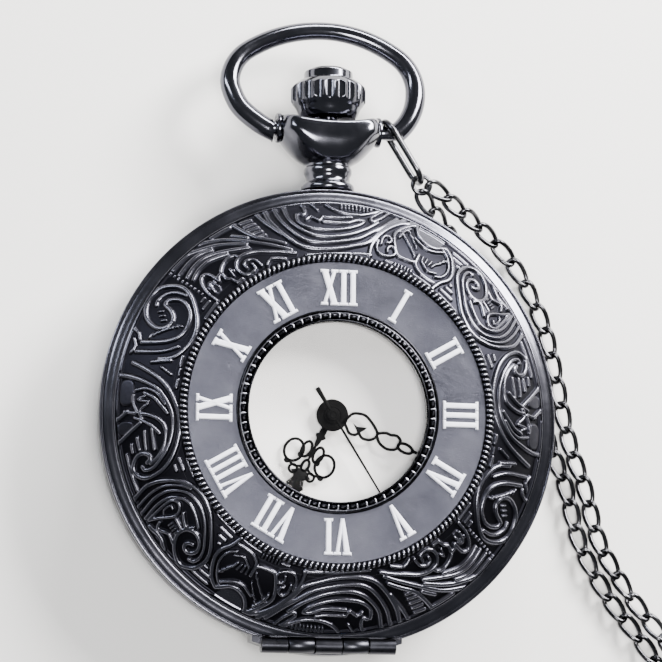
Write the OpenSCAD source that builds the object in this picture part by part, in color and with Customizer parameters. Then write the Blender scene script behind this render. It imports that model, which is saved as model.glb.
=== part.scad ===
// Half-hunter pocket watch lying on its back, dial up.
// Millimetres. +Z comes out of the dial, +Y points to 12 o'clock and the crown, +X to 3 o'clock.
// The origin is on the dial's axis, at the flat face of the back cover.

/* [Case] */
// Outer diameter of the middle case
case_d = 47.2; // [38:0.2:60]
// Height of the middle case
band_h = 4.2; // [3.6:0.1:6]
// Radial thickness of the middle case's wall
band_wall = 2.5; // [2.2:0.1:3]
// Height of the back cover, up to the middle case
back_h = 4.2; // [3.6:0.1:6]
// Diameter of the flat that the watch rests on
back_flat_d = 29; // [20:0.5:30]
// Thickness of the pressed metal shells
shell_t = 0.6; // [0.4:0.05:0.7]

/* [Front cover] */
// How far the cover's rim stands out past the middle case
rim_out = 0.3; // [0.1:0.05:0.6]
// Width of the smooth rim round the engraved border
rim_w = 1.65; // [1.4:0.05:2]
// Height of the rim's inner edge
rim_h = 1.1; // [1:0.1:1.5]
// Height of the border's inner edge over the rim's
dome_rise = 3.5; // [3:0.1:4.5]
// How far the border's face bulges over a straight cone
dome_bulge = 0.35; // [0.1:0.05:0.5]
// Outer diameter of the numeral ring
chapter_d = 30.8; // [28:0.2:32]
// Width of the rope ring round the numeral ring
rope_w = 0.9; // [0.6:0.1:1.2]
// Diameter of the window
window_d = 18.5; // [15:0.5:20]
// Width of the beaded bezel round the window
bezel_w = 1.25; // [1.1:0.05:1.6]
// Height of the raised numerals' strokes, along the radius
numeral_h = 3.7; // [3:0.1:4]

/* [Hinge] */
// Length of the cover's hinge
hinge_w = 14; // [10:0.5:18]
// Radius of the hinge knuckles
knuckle_r = 0.8; // [0.7:0.05:1]
// Radius of the hinge pin
hinge_pin_r = 0.35; // [0.3:0.05:0.45]

/* [Dial and hands] */
// Thickness of the dial
dial_t = 0.4; // [0.3:0.05:0.6]
// Thickness of the inner crystal
crystal_t = 0.7; // [0.5:0.05:0.8]
// Rise of the inner crystal at its centre
crystal_rise = 1.15; // [1.1:0.05:1.3]
// Length of the hour hand from the centre
hour_len = 10; // [7:0.5:12]
// Length of the minute hand from the centre
minute_len = 12.6; // [9:0.1:13.5]
// Length of the second hand from the centre
second_len = 12.8; // [9:0.1:13.5]

/* [Movement] */
// Diameter of the movement
movement_d = 23; // [22.8:0.1:24]
// Diameter of the button cell
cell_d = 6.8; // [5.8:0.2:7.2]
// Height of the button cell
cell_h = 2.6; // [2.1:0.1:2.6]
// Radius of the winding stem
stem_r = 0.45; // [0.4:0.01:0.5]

/* [Pendant, crown and bow] */
// Width of the pendant across its two ears
pendant_w = 11.2; // [10:0.1:11.6]
// Thickness of the pendant, front to back
pendant_t = 7.8; // [6:0.2:8.4]
// Outer diameter of the crown's fluted band
crown_d = 7.9; // [6.4:0.1:8.6]
// Number of flutes round the crown
flutes = 22; // [16:1:30]
// Depth that the crown is pressed to open the cover
press_travel = 0.5; // [0.3:0.05:0.5]
// Radius of the bow's wire
bow_r = 1.1; // [0.8:0.05:1.2]
// Radius of the bow's wire along its top
bow_top_wire_r = 0.95; // [0.7:0.05:1]
// Width of the bow between the middles of its sides
bow_w = 18.9; // [18:0.1:22]
// Height of the bow's widest place over its pegs
bow_mid = 4.9; // [4:0.1:5.5]
// Height of the bow's top over its widest place
bow_top = 6.05; // [5.4:0.05:7]
// How far the bow leans back at rest, in degrees
bow_lean = 10; // [0:1:20]

/* [Chain] */
// Outer width of the chain's links
chain_w = 2; // [1.6:0.1:2]
// Radius of the clip link's wire
clip_wire_r = 0.35; // [0.25:0.05:0.4]

/* [Hidden] */
$fn = 72;
eps = 0.01;
run_gap = 0.05;
sit_gap = 0.1;

// Case
case_r = case_d / 2;
bore_r = case_r - band_wall;
case_top = back_h + band_h;
axis_z = back_h + band_h / 2;
ledge_r = bore_r - 1.3;
ledge_t = 1;
skirt_r = bore_r - 0.2;
skirt_t = 0.6;
gasket_t = 0.2;
skirt_top = axis_z - stem_r - gasket_t - 0.15;
back_rim_r = case_r - 0.3;

// Dial stack, from the movement ring up
ring_z = skirt_top + gasket_t;
dial_z = case_top + 0.3;
dial_top = dial_z + dial_t;
dial_r = ledge_r - 0.5;
glass_z = dial_top + 0.8;
flange_r = bore_r + 0.7;
flange_t = 0.3;

// Front cover
rim_r = case_r + rim_out;
rim_z = case_top + sit_gap;
border_r = rim_r - rim_w;
border_z = rim_z + rim_h;
chapter_r = chapter_d / 2;
border_in_r = chapter_r + rope_w;
border_in_z = border_z + dome_rise;
window_r = window_d / 2;
bezel_r = window_r + bezel_w;
// The dial's opening and crystal lie under the border's inner part, whatever the case's size
sight_past = 2.4;
sight_r = border_in_r + sight_past;
crystal_r = sight_r + 0.35;
plate_z = border_in_z - 0.6;
plate_t = 0.5;
liner_t = 0.5;
liner_r = border_in_r + 0.7;
pane_r = window_r + 0.7;
pane_t = 0.55;
dome_steps = 12;

// Hinge at 6 o'clock
hinge_y = -(case_r - 0.1);
hinge_z = case_top + 0.05;
knuckle_w = hinge_w / 5;
knuckle_gap = 0.1;

// Pendant, crown and bow, along +Y from the case
foot_y = rim_r + 0.2;
ear_y = case_r + 7.15;
ear_x = pendant_w / 2;
saddle_y = ear_y + 0.25;
crown_y = ear_y + 1.05;
band_y = ear_y + 2.75;
cap_y = ear_y + 6.75;
stem_z = axis_z;
sleeve_r = 1;
sleeve_in_r = 0.62;
sleeve_y = case_r - 1.65;
socket_w = 0.84;
stem_square = 0.76;
stem_y = 4.6;
stem_end = ear_y + 3.6;
peg_r = 0.75;
peg_in_x = ear_x - 1.4;
collar_x = ear_x + 2;
bow_side_r = 4.6;
bow_side_x = bow_w / 2 - bow_side_r;
bow_rise = bow_top - bow_side_r;
bow_drop = (pow(bow_side_x, 2) - pow(bow_rise, 2)) / (2 * bow_rise);
bow_top_r = bow_top + bow_drop;
bow_turn = atan2(bow_drop, bow_side_x);
bow_lap = 1.5;
bow_foot_in = bow_w / 2 - collar_x;
bow_low_r = (pow(bow_foot_in, 2) + pow(bow_mid, 2)) / (2 * bow_foot_in);
foot_turn = -asin(bow_mid / bow_low_r);

// Latch at 12 o'clock
latch_y = case_r - 2.1;
latch_t = 0.4;
latch_w = 3.2;
latch_top = case_top + 0.5;

// Movement, from its back up
plate_bottom = dial_z - 1.8;
plate_thick = 1.8;
movement_r = movement_d / 2;
bridge_z = plate_bottom - 2.7;
bridge_t = 0.6;
wheel_t = 0.2;
pivot_r = 0.12;
pivot_bore = 0.16;
board_z = bridge_z - 0.15;
board_t = 0.4;
motion_z = dial_z - 0.8;
cell_x = -4.9;
cell_y = -6.3;
SCREWS = [[-9.2, 2.4], [1.2, -9.4], [7, 7.2], [-5.2, 8.6]];
PILLARS = [[1.6, 3.6], [-3.6, -1.9], [1.2, -4.3]];

// Wheel train: teeth, modules and centres
n_rotor = 6;
n_fifth = 36;
n_fifth_pinion = 6;
n_fourth = 30;
n_fourth_pinion = 6;
n_third = 45;
n_third_pinion = 6;
n_centre = 48;
n_cannon = 8;
n_minute = 24;
n_minute_pinion = 8;
n_hour = 32;
m_rotor = 0.1;
m_fifth = 0.155;
third_dist = 2.72;
m_fourth = 2 * third_dist / (n_fourth_pinion + n_third);
m_third = 2 * third_dist / (n_third_pinion + n_centre);
motion_dist = 2.4;
m_cannon = 2 * motion_dist / (n_cannon + n_minute);
m_minute = 2 * motion_dist / (n_minute_pinion + n_hour);
fifth_turn = -30;
rotor_turn = -10;
third_turn = 150;
motion_turn = 90;
fifth_dist = (n_fifth_pinion + n_fourth) * m_fifth / 2;
rotor_dist = (n_rotor + n_fifth) * m_rotor / 2;
fifth_at = fifth_dist * [cos(fifth_turn), sin(fifth_turn)];
rotor_at = fifth_at + rotor_dist * [cos(rotor_turn), sin(rotor_turn)];
third_at = third_dist * [cos(third_turn), sin(third_turn)];
motion_at = motion_dist * [cos(motion_turn), sin(motion_turn)];
second_r = 0.17;
tube_in_r = 0.22;
tube_r = 0.5;
hour_in_r = 0.56;
hour_tube_r = 0.85;
coil_x = 8.4;
coil_y = -1.6;

// Hands: angles clockwise from 12 o'clock, and heights over the dial
hour_at = 207.5;
minute_at = 112.4;
second_at = 148;
hour_z = dial_top + 0.4;
minute_z = dial_top + 0.75;
second_z = dial_top + 1.1;
hand_t = 0.15;

// Numerals, clockwise from 1 o'clock: 0 is I, 1 is V, 2 is X
NUMERALS = [
    [0], [0, 0], [0, 0, 0], [0, 1], [1], [1, 0],
    [1, 0, 0], [1, 0, 0, 0], [0, 2], [2], [2, 0], [2, 0, 0]
];
GLYPH_W = [0.78, 1.75, 1.75];

// Chain: a closed necklace loop, whose two strands run together from the ring to the coil
clip_turn = -58;
clip_x = ear_x + 1.15;
clip_in = 0.2;
clip_half_w = 1.55;
clip_len = 8.1;
clip_run = clip_len - 2 * (clip_half_w + clip_wire_r);
jump_r = 0.95;
jump_wire_r = 0.25;
chain_r = chain_w / 2;
coil_at = [56, -24];
coil_in_r = 7;
coil_out_r = 17.6;
coil_h = 4.1;
STRAND_A = [
    [10.4, 24, 6], [12.2, 22.5, 4.6], [14, 20.7, 3], [15.6, 19, 1.7], [17.2, 17, 1], [18.8, 14.8, 1],
    [20.2, 12.6, 1], [21.4, 10.3, 1], [22.4, 7.9, 1], [23.2, 5.4, 1], [24, 2.8, 1], [24.9, 0.2, 1],
    [26.1, -2.9, 1], [27.2, -5.7, 1], [28.5, -11, 1], [29.8, -14, 1], [31.2, -16.4, 1], [32.9, -18.9, 1],
    [34.8, -21.2, 1], [36.6, -23.6, 1], [38.3, -26.1, 1], [39.6, -28.3, 1], [40.4, -29.7, 1]
];
STRAND_B = [
    [11.9, 25, 6], [13.9, 23.8, 4.8], [16.4, 22.4, 3.2], [18.7, 20.9, 1.8], [20.8, 19, 1], [22.5, 16.6, 1],
    [23.8, 14, 1], [24.9, 11.4, 1], [25.6, 8.7, 1], [26.2, 6, 1], [26.7, 3.2, 1], [27.3, 0.5, 1],
    [28.1, -2.5, 1], [29.2, -5.3, 1], [30.5, -10.4, 1], [31.6, -13, 1], [33, -15.3, 1], [34.6, -17.7, 1],
    [36.4, -19.9, 1], [38, -22, 1.6], [39.2, -24.6, 2.4], [39.9, -27.2, 3], [40.4, -29.7, 3.05]
];

// A point on the border's face, s from 0 at the rim to 1 at the rope ring
function dome_point(s, drop) = [
    border_r + (border_in_r - border_r) * s,
    border_z + dome_rise * s + dome_bulge * sin(180 * s) - drop
];

// Phase of a wheel that meshes with the wheel of phase p1 and n1 teeth, in direction turn
function mate(p1, n1, turn, n2) = turn + 180 - (0.5 - (turn - p1) * n1 / 360) * 360 / n2;

// Outline of a wheel with straight-sided teeth, one of them at angle phase
function wheel_points(n, m, phase) = [
    for (i = [0 : n - 1], c = [[-0.3, -1.1], [-0.11, 0.8], [0.11, 0.8], [0.3, -1.1]])
        let (a = phase + (i + c[0]) * 360 / n, r = n * m / 2 + c[1] * m)
            [r * cos(a), r * sin(a)]
];

// Ring of points round a route's point p, square to the direction d
function ring_at(p, d, r, sides) =
    let (u = d / norm(d), v = cross([0, 0, 1], u), a = v / norm(v), b = cross(u, a))
        [for (k = [0 : sides - 1]) p + r * (cos(k * 360 / sides) * a + sin(k * 360 / sides) * b)];

// Lies along +Y at the height of the stem
module along_y(y) {
    translate([0, y, stem_z]) rotate([-90, 0, 0]) children();
}

// Lies along +X from x, at the height h
module along_x(x, y, h) {
    translate([x, y, h]) rotate([0, 90, 0]) children();
}

module tooth_wheel(n, m, t, phase, hole_r) {
    linear_extrude(t) difference() {
        polygon(wheel_points(n, m, phase));
        circle(hole_r);
    }
}

// Tube swept along a route, with one flat-sided ring of points at each of its points
module swept_tube(route, r, sides) {
    last = len(route) - 1;
    rings = [
        for (i = [0 : last])
            ring_at(route[i], route[min(i + 1, last)] - route[max(i - 1, 0)], r, sides)
    ];
    points = [for (ring = rings, p = ring) p];
    walls = [
        for (i = [0 : last - 1], k = [0 : sides - 1])
            [i * sides + k, i * sides + (k + 1) % sides, (i + 1) * sides + (k + 1) % sides, (i + 1) * sides + k]
    ];
    first_cap = [[for (k = [sides - 1 : -1 : 0]) k]];
    last_cap = [[for (k = [0 : sides - 1]) last * sides + k]];
    polyhedron(points, concat(walls, first_cap, last_cap), convexity = 6);
}

// Knuckles of the hinge whose number has the given parity, made larger by extra
module knuckles(parity, extra) {
    for (k = [0 : 4])
        if (k % 2 == parity)
            along_x(-hinge_w / 2 + k * knuckle_w + knuckle_gap / 2 - extra, hinge_y, hinge_z)
                cylinder(r = knuckle_r + extra, h = knuckle_w - knuckle_gap + 2 * extra);
}

module hinge_bore(r) {
    along_x(-hinge_w / 2 - 1, hinge_y, hinge_z) cylinder(r = r, h = hinge_w + 2, $fn = 32);
}

module mid_case() {
    lip = 0.2;
    groove_z = back_h + band_h * 0.35;
    tube_hole_r = 1.6;
    block_w = hinge_w + 1.6;
    color("#3c3d47") difference() {
        union() {
            rotate_extrude($fn = 144) polygon([
                [bore_r, back_h], [case_r - lip, back_h], [case_r, back_h + lip], [case_r, groove_z],
                [case_r - lip, groove_z + lip], [case_r, groove_z + 2 * lip], [case_r, case_top - lip],
                [case_r - lip, case_top], [ledge_r, case_top], [ledge_r, case_top - ledge_t],
                [bore_r, case_top - ledge_t]
            ]);
            intersection() {
                translate([0, 0, back_h + 1]) cylinder(r = case_r + 0.8, h = band_h - 1.4);
                translate([-block_w / 2, -case_r - 2, back_h]) cube([block_w, 4, band_h]);
            }
            knuckles(0, 0);
        }
        knuckles(1, sit_gap);
        hinge_bore(hinge_pin_r);
        along_y(bore_r - 2) cylinder(r = tube_hole_r, h = band_wall + 4);
        translate([-latch_w / 2 - sit_gap, bore_r - 0.2, axis_z - 1.1])
            cube([latch_w + 2 * sit_gap, 1.5, band_h]);
        translate([-5, -case_r + 1.15, axis_z + 0.3]) cube([10, 0.9, band_h]);
    }
}

module back_cover() {
    flat_r = back_flat_d / 2;
    steps = 10;
    outside = [
        for (i = [0 : steps])
            [flat_r + (back_rim_r - flat_r) * sin(90 * i / steps), (back_h - 0.5) * (1 - cos(90 * i / steps))]
    ];
    inside = [
        for (i = [steps : -1 : 0])
            let (r = flat_r + (skirt_r - skirt_t - flat_r) * sin(75 * i / steps))
                [r, shell_t + (back_h - 1.6) * (1 - cos(75 * i / steps))]
    ];
    color("#3a3b45") rotate_extrude($fn = 144) polygon(concat(
        [[0, 0]], outside,
        [[back_rim_r, back_h], [skirt_r, back_h], [skirt_r, skirt_top], [skirt_r - skirt_t, skirt_top]],
        inside, [[0, shell_t]]
    ));
}

module back_gasket() {
    color("#1c1c1e") translate([0, 0, skirt_top]) difference() {
        cylinder(r = skirt_r, h = gasket_t, $fn = 144);
        translate([0, 0, -1]) cylinder(r = skirt_r - skirt_t, h = gasket_t + 2, $fn = 144);
    }
}

module pendant() {
    bowl_y = foot_y + 3.1;
    rim_y = ear_y - 0.7;
    color("#5b5c66") difference() {
        intersection() {
            along_y(0) rotate_extrude($fn = 96) polygon(concat(
                [[0, case_r - 1.15], [1.6, case_r - 1.15], [1.6, case_r], [2, case_r]],
                [[2, foot_y], [2.75, foot_y], [2.7, foot_y + 0.6], [2.2, foot_y + 1.2]],
                [[2.15, foot_y + 1.7], [2.45, foot_y + 2], [2.45, foot_y + 2.5], [2.2, foot_y + 2.9]],
                [
                    for (i = [0 : 8])
                        [2.6 + (ear_x - 2.6) * i / 8, bowl_y + (rim_y - bowl_y) * pow(i / 8, 1.3)]
                ],
                [for (i = [1 : 4]) [ear_x - 0.7 + 0.7 * cos(90 * i / 4), ear_y + 0.4 + 1.1 * sin(90 * i / 4)]],
                [[2.7, saddle_y], [0, saddle_y]]
            ));
            union() {
                along_x(-ear_x - 1, ear_y - 1, stem_z) cylinder(r = pendant_t / 2, h = pendant_w + 2, $fn = 96);
                translate([-ear_x, 0, stem_z - 3.2]) cube([pendant_w, ear_y - 2.4, 6.4]);
            }
        }
        along_y(0) cylinder(r = sleeve_r + sit_gap, h = cap_y);
        for (side = [0, 180])
            translate([0, ear_y, stem_z]) rotate([0, 90, side])
                translate([0, 0, peg_in_x - run_gap]) cylinder(r = peg_r + run_gap, h = 4, $fn = 48);
    }
}

module hinge_pin() {
    color("#8a8a90") along_x(-hinge_w / 2, hinge_y, hinge_z) cylinder(r = hinge_pin_r, h = hinge_w, $fn = 32);
}

module lift_spring() {
    color("#4a5c8a") {
        translate([-4.6, -case_r + 1.3, axis_z + 0.3]) cube([9.2, 0.4, 0.8]);
        translate([-0.8, -case_r + 1.3, axis_z + 1.1]) cube([1.6, 0.4, case_top - axis_z - 1.1]);
    }
}

module inner_bezel() {
    color("#55565f") difference() {
        rotate_extrude($fn = 144) polygon([
            [dial_r + sit_gap, case_top], [flange_r, case_top], [flange_r, case_top + flange_t],
            [bore_r - 0.1, case_top + flange_t + 0.5], [crystal_r + 0.45, glass_z + crystal_t],
            [crystal_r + run_gap, glass_z + crystal_t], [crystal_r + run_gap, glass_z], [sight_r, glass_z],
            [sight_r, dial_top], [dial_r + sit_gap, dial_top]
        ]);
        translate([-latch_w / 2 - sit_gap, bore_r - 0.3, case_top - 1])
            cube([latch_w + 2 * sit_gap, 3, 1.8]);
    }
}

module dial_crystal() {
    steps = 12;
    over = [for (i = [0 : steps]) [crystal_r * i / steps, crystal_rise * (1 - pow(i / steps, 2))]];
    color([0.85, 0.92, 0.95, 0.35]) translate([0, 0, glass_z]) rotate_extrude($fn = 144) polygon(concat(
        [for (p = over) p + [0, crystal_t]],
        [for (i = [steps : -1 : 0]) over[i]]
    ));
}

module dial() {
    color("#f2efe8") translate([0, 0, dial_z]) difference() {
        cylinder(r = dial_r, h = dial_t, $fn = 144);
        translate([0, 0, -1]) cylinder(r = hour_tube_r + 0.3, h = dial_t + 2);
    }
}

module movement_ring() {
    color("#d9d9d2") difference() {
        rotate_extrude($fn = 144) polygon([
            [movement_r + run_gap, ring_z], [skirt_r, ring_z], [skirt_r, case_top - ledge_t],
            [ledge_r - sit_gap, case_top - ledge_t], [ledge_r - sit_gap, case_top], [dial_r, case_top],
            [dial_r, dial_z], [movement_r + run_gap, dial_z]
        ]);
        translate([-0.8, 0, ring_z - 1]) cube([1.6, case_r, stem_z - ring_z + 1.8]);
    }
}

module main_plate() {
    pocket_r = n_hour * m_minute / 2 + 0.4;
    color("#b9a46a") {
        difference() {
            translate([0, 0, plate_bottom]) cylinder(r = movement_r, h = plate_thick, $fn = 96);
            translate([0, 0, motion_z]) cylinder(r = pocket_r, h = 2);
            translate([motion_at[0], motion_at[1], motion_z]) cylinder(r = pocket_r, h = 2);
            translate([0, 0, plate_bottom - 1]) cylinder(r = tube_r + run_gap, h = 4);
            for (p = [third_at, fifth_at, rotor_at])
                translate([p[0], p[1], plate_bottom - 1]) cylinder(r = pivot_bore, h = 1.4, $fn = 32);
            for (p = SCREWS)
                translate([p[0], p[1], plate_bottom - 1]) cylinder(r = 0.35, h = 1.8, $fn = 32);
            translate([-1.2, stem_y - 0.2, plate_bottom - 1]) cube([2.4, movement_r, 1.5]);
        }
        translate([motion_at[0], motion_at[1], motion_z]) cylinder(r = 0.25, h = 0.75, $fn = 32);
    }
}

module train_bridge() {
    color("#c9b06a") difference() {
        union() {
            translate([0, 0, bridge_z]) linear_extrude(bridge_t) {
                circle(4.3);
                translate(rotor_at) circle(1.9);
                for (p = PILLARS) translate(p) circle(0.9);
            }
            for (p = PILLARS)
                translate([p[0], p[1], bridge_z]) cylinder(r = 0.6, h = plate_bottom - bridge_z);
        }
        for (p = [[0, 0], third_at, fifth_at, rotor_at])
            translate([p[0], p[1], bridge_z - 1]) cylinder(r = pivot_bore, h = 3, $fn = 32);
    }
}

module stator() {
    arm_w = 1.2;
    foot_y1 = coil_y + 4.5;
    foot_y2 = coil_y - 4.5;
    color("#9a9aa2") translate([0, 0, bridge_z + bridge_t]) linear_extrude(0.3) difference() {
        union() {
            translate(rotor_at) circle(1.35);
            translate([rotor_at[0] - arm_w / 2, foot_y2]) square([arm_w, foot_y1 - foot_y2]);
            translate([rotor_at[0] - arm_w / 2, foot_y1 - 0.8]) square([coil_x + 1 - rotor_at[0], 0.8]);
            translate([rotor_at[0] - arm_w / 2, foot_y2]) square([coil_x + 1 - rotor_at[0], 0.8]);
        }
        translate(rotor_at) circle(0.95);
    }
}

module coil_core() {
    color("#a8a8b0") translate([coil_x - 0.4, coil_y - 4.5, bridge_z + bridge_t + 0.3]) cube([0.8, 9, 0.3]);
}

module drive_coil() {
    color("#b5652b") difference() {
        translate([coil_x, coil_y - 3.4, bridge_z + bridge_t + 0.45]) rotate([-90, 0, 0])
            cylinder(r = 1.15, h = 6.8, $fn = 48);
        translate([coil_x - 0.4, coil_y - 5, bridge_z + bridge_t + 0.3]) cube([0.8, 10, 0.3]);
    }
}

module circuit_board() {
    color("#2f6b46") translate([0, 0, board_z]) linear_extrude(board_t) difference() {
        intersection() {
            circle(movement_r - 0.5, $fn = 96);
            translate([-12, -1]) square([21, 13]);
        }
        circle(5);
        translate(rotor_at) circle(2.1);
        translate([cell_x, cell_y]) circle(cell_d / 2 + 0.4);
        translate([5.8, -3]) square([7, 8]);
        for (p = SCREWS) translate(p) circle(0.35, $fn = 32);
    }
}

module timing_chip() {
    color("#1a1a1a") translate([-7, 3, board_z + board_t]) cylinder(r = 1.1, h = 0.6);
}

module quartz_can() {
    color("#c8c8cc") along_x(-8.6, 6.2, board_z + board_t + 0.75) cylinder(r = 0.75, h = 5, $fn = 32);
}

module button_cell() {
    color("#cfcfd2") translate([cell_x, cell_y, plate_bottom - cell_h]) union() {
        cylinder(r = cell_d / 2 - 0.5, h = cell_h);
        translate([0, 0, 0.3]) cylinder(r = cell_d / 2, h = cell_h - 0.3);
    }
}

module battery_strap() {
    color("#b8b8a8") translate([0, 0, plate_bottom - cell_h - 0.25]) linear_extrude(0.25) difference() {
        union() {
            translate([cell_x, cell_y]) circle(2.2);
            translate([cell_x, -10.2]) square([SCREWS[1][0] - cell_x, 1.6]);
            translate([cell_x - 0.8, -10.2]) square([1.6, 4]);
            translate(SCREWS[1]) circle(0.8);
        }
        translate(SCREWS[1]) circle(0.35, $fn = 32);
    }
}

module movement_screws() {
    color("#8890a8") for (p = SCREWS) {
        translate([p[0], p[1], board_z - 0.4]) difference() {
            cylinder(r = 0.7, h = 0.4, $fn = 32);
            translate([-1, -0.1, -1]) cube([2, 0.2, 1.2]);
        }
        translate([p[0], p[1], board_z]) cylinder(r = 0.35, h = plate_bottom + 0.8 - board_z, $fn = 32);
    }
}

module cover_rim() {
    lip_y = latch_y + latch_t + 0.1 + run_gap;
    color("#6a6a75") difference() {
        union() {
            difference() {
                rotate_extrude($fn = 144) polygon([
                    [border_r, rim_z], [rim_r, rim_z], [rim_r, rim_z + 0.4], [rim_r - 0.2, rim_z + 0.55],
                    [rim_r - rim_w / 2, rim_z + 0.65], [border_r + 0.15, border_z], [border_r, border_z]
                ]);
                knuckles(0, sit_gap);
            }
            translate([-1.2, lip_y, rim_z]) cube([2.4, border_r + 0.25 - lip_y, 0.15]);
            knuckles(1, 0);
        }
        hinge_bore(hinge_pin_r + run_gap);
    }
}

module cover_border() {
    under = shell_t * 1.2;
    seat = (border_r - liner_r) / (border_r - border_in_r);
    color("#2b2b34") difference() {
        rotate_extrude($fn = 144) polygon(concat(
            [for (i = [0 : dome_steps]) dome_point(i / dome_steps, 0)],
            [[border_in_r, plate_z], [liner_r + run_gap, plate_z]],
            [for (i = [dome_steps : -1 : 0]) dome_point(seat * i / dome_steps, under)]
        ));
        knuckles(0, sit_gap);
    }
}

module cover_liner() {
    color("#8e8e98") translate([0, 0, plate_z - liner_t]) difference() {
        cylinder(r = liner_r, h = liner_t, $fn = 144);
        translate([0, 0, -1]) cylinder(r = window_r + 0.05, h = liner_t + 2, $fn = 144);
    }
}

module rope_ring() {
    color("#4a4a55") rotate_extrude($fn = 144) polygon([
        [chapter_r, plate_z], [border_in_r, plate_z], [border_in_r, plate_z + 0.75],
        [chapter_r + rope_w * 0.6, plate_z + 0.95], [chapter_r, plate_z + 0.7]
    ]);
}

module numeral_ring() {
    color("#62656f") translate([0, 0, plate_z]) difference() {
        cylinder(r = chapter_r, h = plate_t, $fn = 144);
        translate([0, 0, -1]) cylinder(r = bezel_r, h = plate_t + 2, $fn = 144);
    }
}

// One stroke with a slab serif at each end
module stem_stroke(x, thick) {
    serif_h = 0.28;
    translate([x - thick / 2, 0]) square([thick, numeral_h]);
    for (y = [0, numeral_h - serif_h])
        translate([x - thick, y]) square([2 * thick, serif_h]);
}

// Slanted stroke from x0 at the foot to x1 at the top
module slant_stroke(x0, x1, thick) {
    polygon([
        [x0 - thick / 2, 0], [x0 + thick / 2, 0],
        [x1 + thick / 2, numeral_h], [x1 - thick / 2, numeral_h]
    ]);
}

module glyph(kind) {
    w = GLYPH_W[kind];
    if (kind == 0) stem_stroke(w / 2, 0.44);
    if (kind == 1) {
        slant_stroke(w * 0.5, w * 0.24, 0.5);
        slant_stroke(w * 0.5, w * 0.8, 0.3);
    }
    if (kind == 2) {
        slant_stroke(w * 0.78, w * 0.22, 0.5);
        slant_stroke(w * 0.24, w * 0.78, 0.3);
    }
    if (kind > 0)
        for (x = [0.04, 0.62])
            translate([w * x, numeral_h - 0.28]) square([w * 0.36, 0.28]);
    if (kind == 2)
        for (x = [0.04, 0.62])
            translate([w * x, 0]) square([w * 0.36, 0.28]);
}

function run_w(list, i) = i < 0 ? 0 : GLYPH_W[list[i]] + run_w(list, i - 1);

module cover_numerals() {
    foot = (bezel_r + chapter_r - numeral_h) / 2;
    color("#e4e4ee") translate([0, 0, plate_z + plate_t]) linear_extrude(0.25)
        for (h = [0 : 11])
            rotate(-30 * (h + 1)) translate([-run_w(NUMERALS[h], len(NUMERALS[h]) - 1) / 2, foot])
                for (i = [0 : len(NUMERALS[h]) - 1])
                    translate([run_w(NUMERALS[h], i - 1), 0]) glyph(NUMERALS[h][i]);
}

module window_bezel() {
    top = plate_z + plate_t + 0.55;
    color("#23232b") rotate_extrude($fn = 144) polygon([
        [pane_r + run_gap, plate_z], [bezel_r, plate_z], [bezel_r, top - 0.15], [bezel_r - 0.2, top],
        [window_r + 0.3, top], [window_r, top - 0.2], [window_r, plate_z + pane_t],
        [pane_r + run_gap, plate_z + pane_t]
    ]);
}

module window_glass() {
    steps = 10;
    lens_r = window_r - run_gap;
    color([0.85, 0.92, 0.95, 0.3]) translate([0, 0, plate_z]) rotate_extrude($fn = 144) polygon(concat(
        [[0, 0], [pane_r, 0], [pane_r, pane_t], [lens_r, pane_t]],
        [for (i = [steps : -1 : 0]) [lens_r * i / steps, pane_t + 0.3 + 0.6 * (1 - pow(i / steps, 2))]]
    ));
}

module cover_latch() {
    color("#4a5c8a") difference() {
        union() {
            translate([-latch_w / 2, latch_y, axis_z - 0.9]) cube([latch_w, latch_t, latch_top - axis_z + 0.9]);
            translate([-1.2, latch_y, latch_top - 0.15]) cube([2.4, latch_t + 0.1, 0.15]);
        }
        along_y(latch_y - 1) cylinder(r = stem_r + 0.15, h = 3, $fn = 48);
    }
}

module setting_lever() {
    groove_y = stem_y + 2.4;
    color("#8890a8") {
        translate([-3, groove_y + 0.05, stem_z - 0.15]) cube([2.65, 0.3, 0.3]);
        translate([-3, groove_y + 0.05, stem_z - 0.15]) cube([0.8, 2, 0.3]);
    }
}

module winding_stem() {
    groove_y = stem_y + 2.4;
    color("#9a9aa2") {
        along_y(stem_y) cylinder(r = stem_r, h = groove_y - stem_y, $fn = 48);
        along_y(groove_y) cylinder(r = stem_r - 0.15, h = 0.4, $fn = 48);
        along_y(groove_y + 0.4) cylinder(r = stem_r, h = crown_y - 0.6 - groove_y - 0.4, $fn = 48);
        translate([-stem_square / 2, crown_y - 0.6, stem_z - stem_square / 2])
            cube([stem_square, stem_end - crown_y + 0.6, stem_square]);
    }
}

module sliding_pinion() {
    color("#9a9aa2") along_y(stem_y + 0.3) difference() {
        union() {
            tooth_wheel(12, 0.13, 1.4, 0, stem_r);
            translate([0, 0, 0.9]) cylinder(r = 0.75, h = 0.5, $fn = 48);
        }
        translate([0, 0, -1]) cylinder(r = stem_r, h = 4, $fn = 48);
    }
}

module crown() {
    crown_r = crown_d / 2;
    flute_r = 0.28;
    cap_r = 2.55;
    color("#8b8b95") difference() {
        along_y(0) rotate_extrude($fn = 96) polygon([
            [0, sleeve_y], [sleeve_r, sleeve_y], [sleeve_r, crown_y], [2.3, crown_y],
            [crown_r - 0.3, band_y - 0.2], [crown_r, band_y], [crown_r, band_y + 2.1],
            [crown_r - 0.9, band_y + 2.5], [cap_r, band_y + 2.6], [cap_r, cap_y - 0.4],
            [cap_r - 0.5, cap_y], [0, cap_y]
        ]);
        along_y(sleeve_y - 1) cylinder(r = sleeve_in_r, h = crown_y - sleeve_y + 1, $fn = 48);
        translate([-socket_w / 2, crown_y - eps, stem_z - socket_w / 2])
            cube([socket_w, stem_end - crown_y + press_travel + 0.3, socket_w]);
        for (i = [0 : flutes - 1])
            along_y(band_y - 0.3) rotate(i * 360 / flutes)
                translate([crown_r + 0.1, 0, 0]) cylinder(r = flute_r, h = 2.9, $fn = 16);
    }
}

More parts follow.
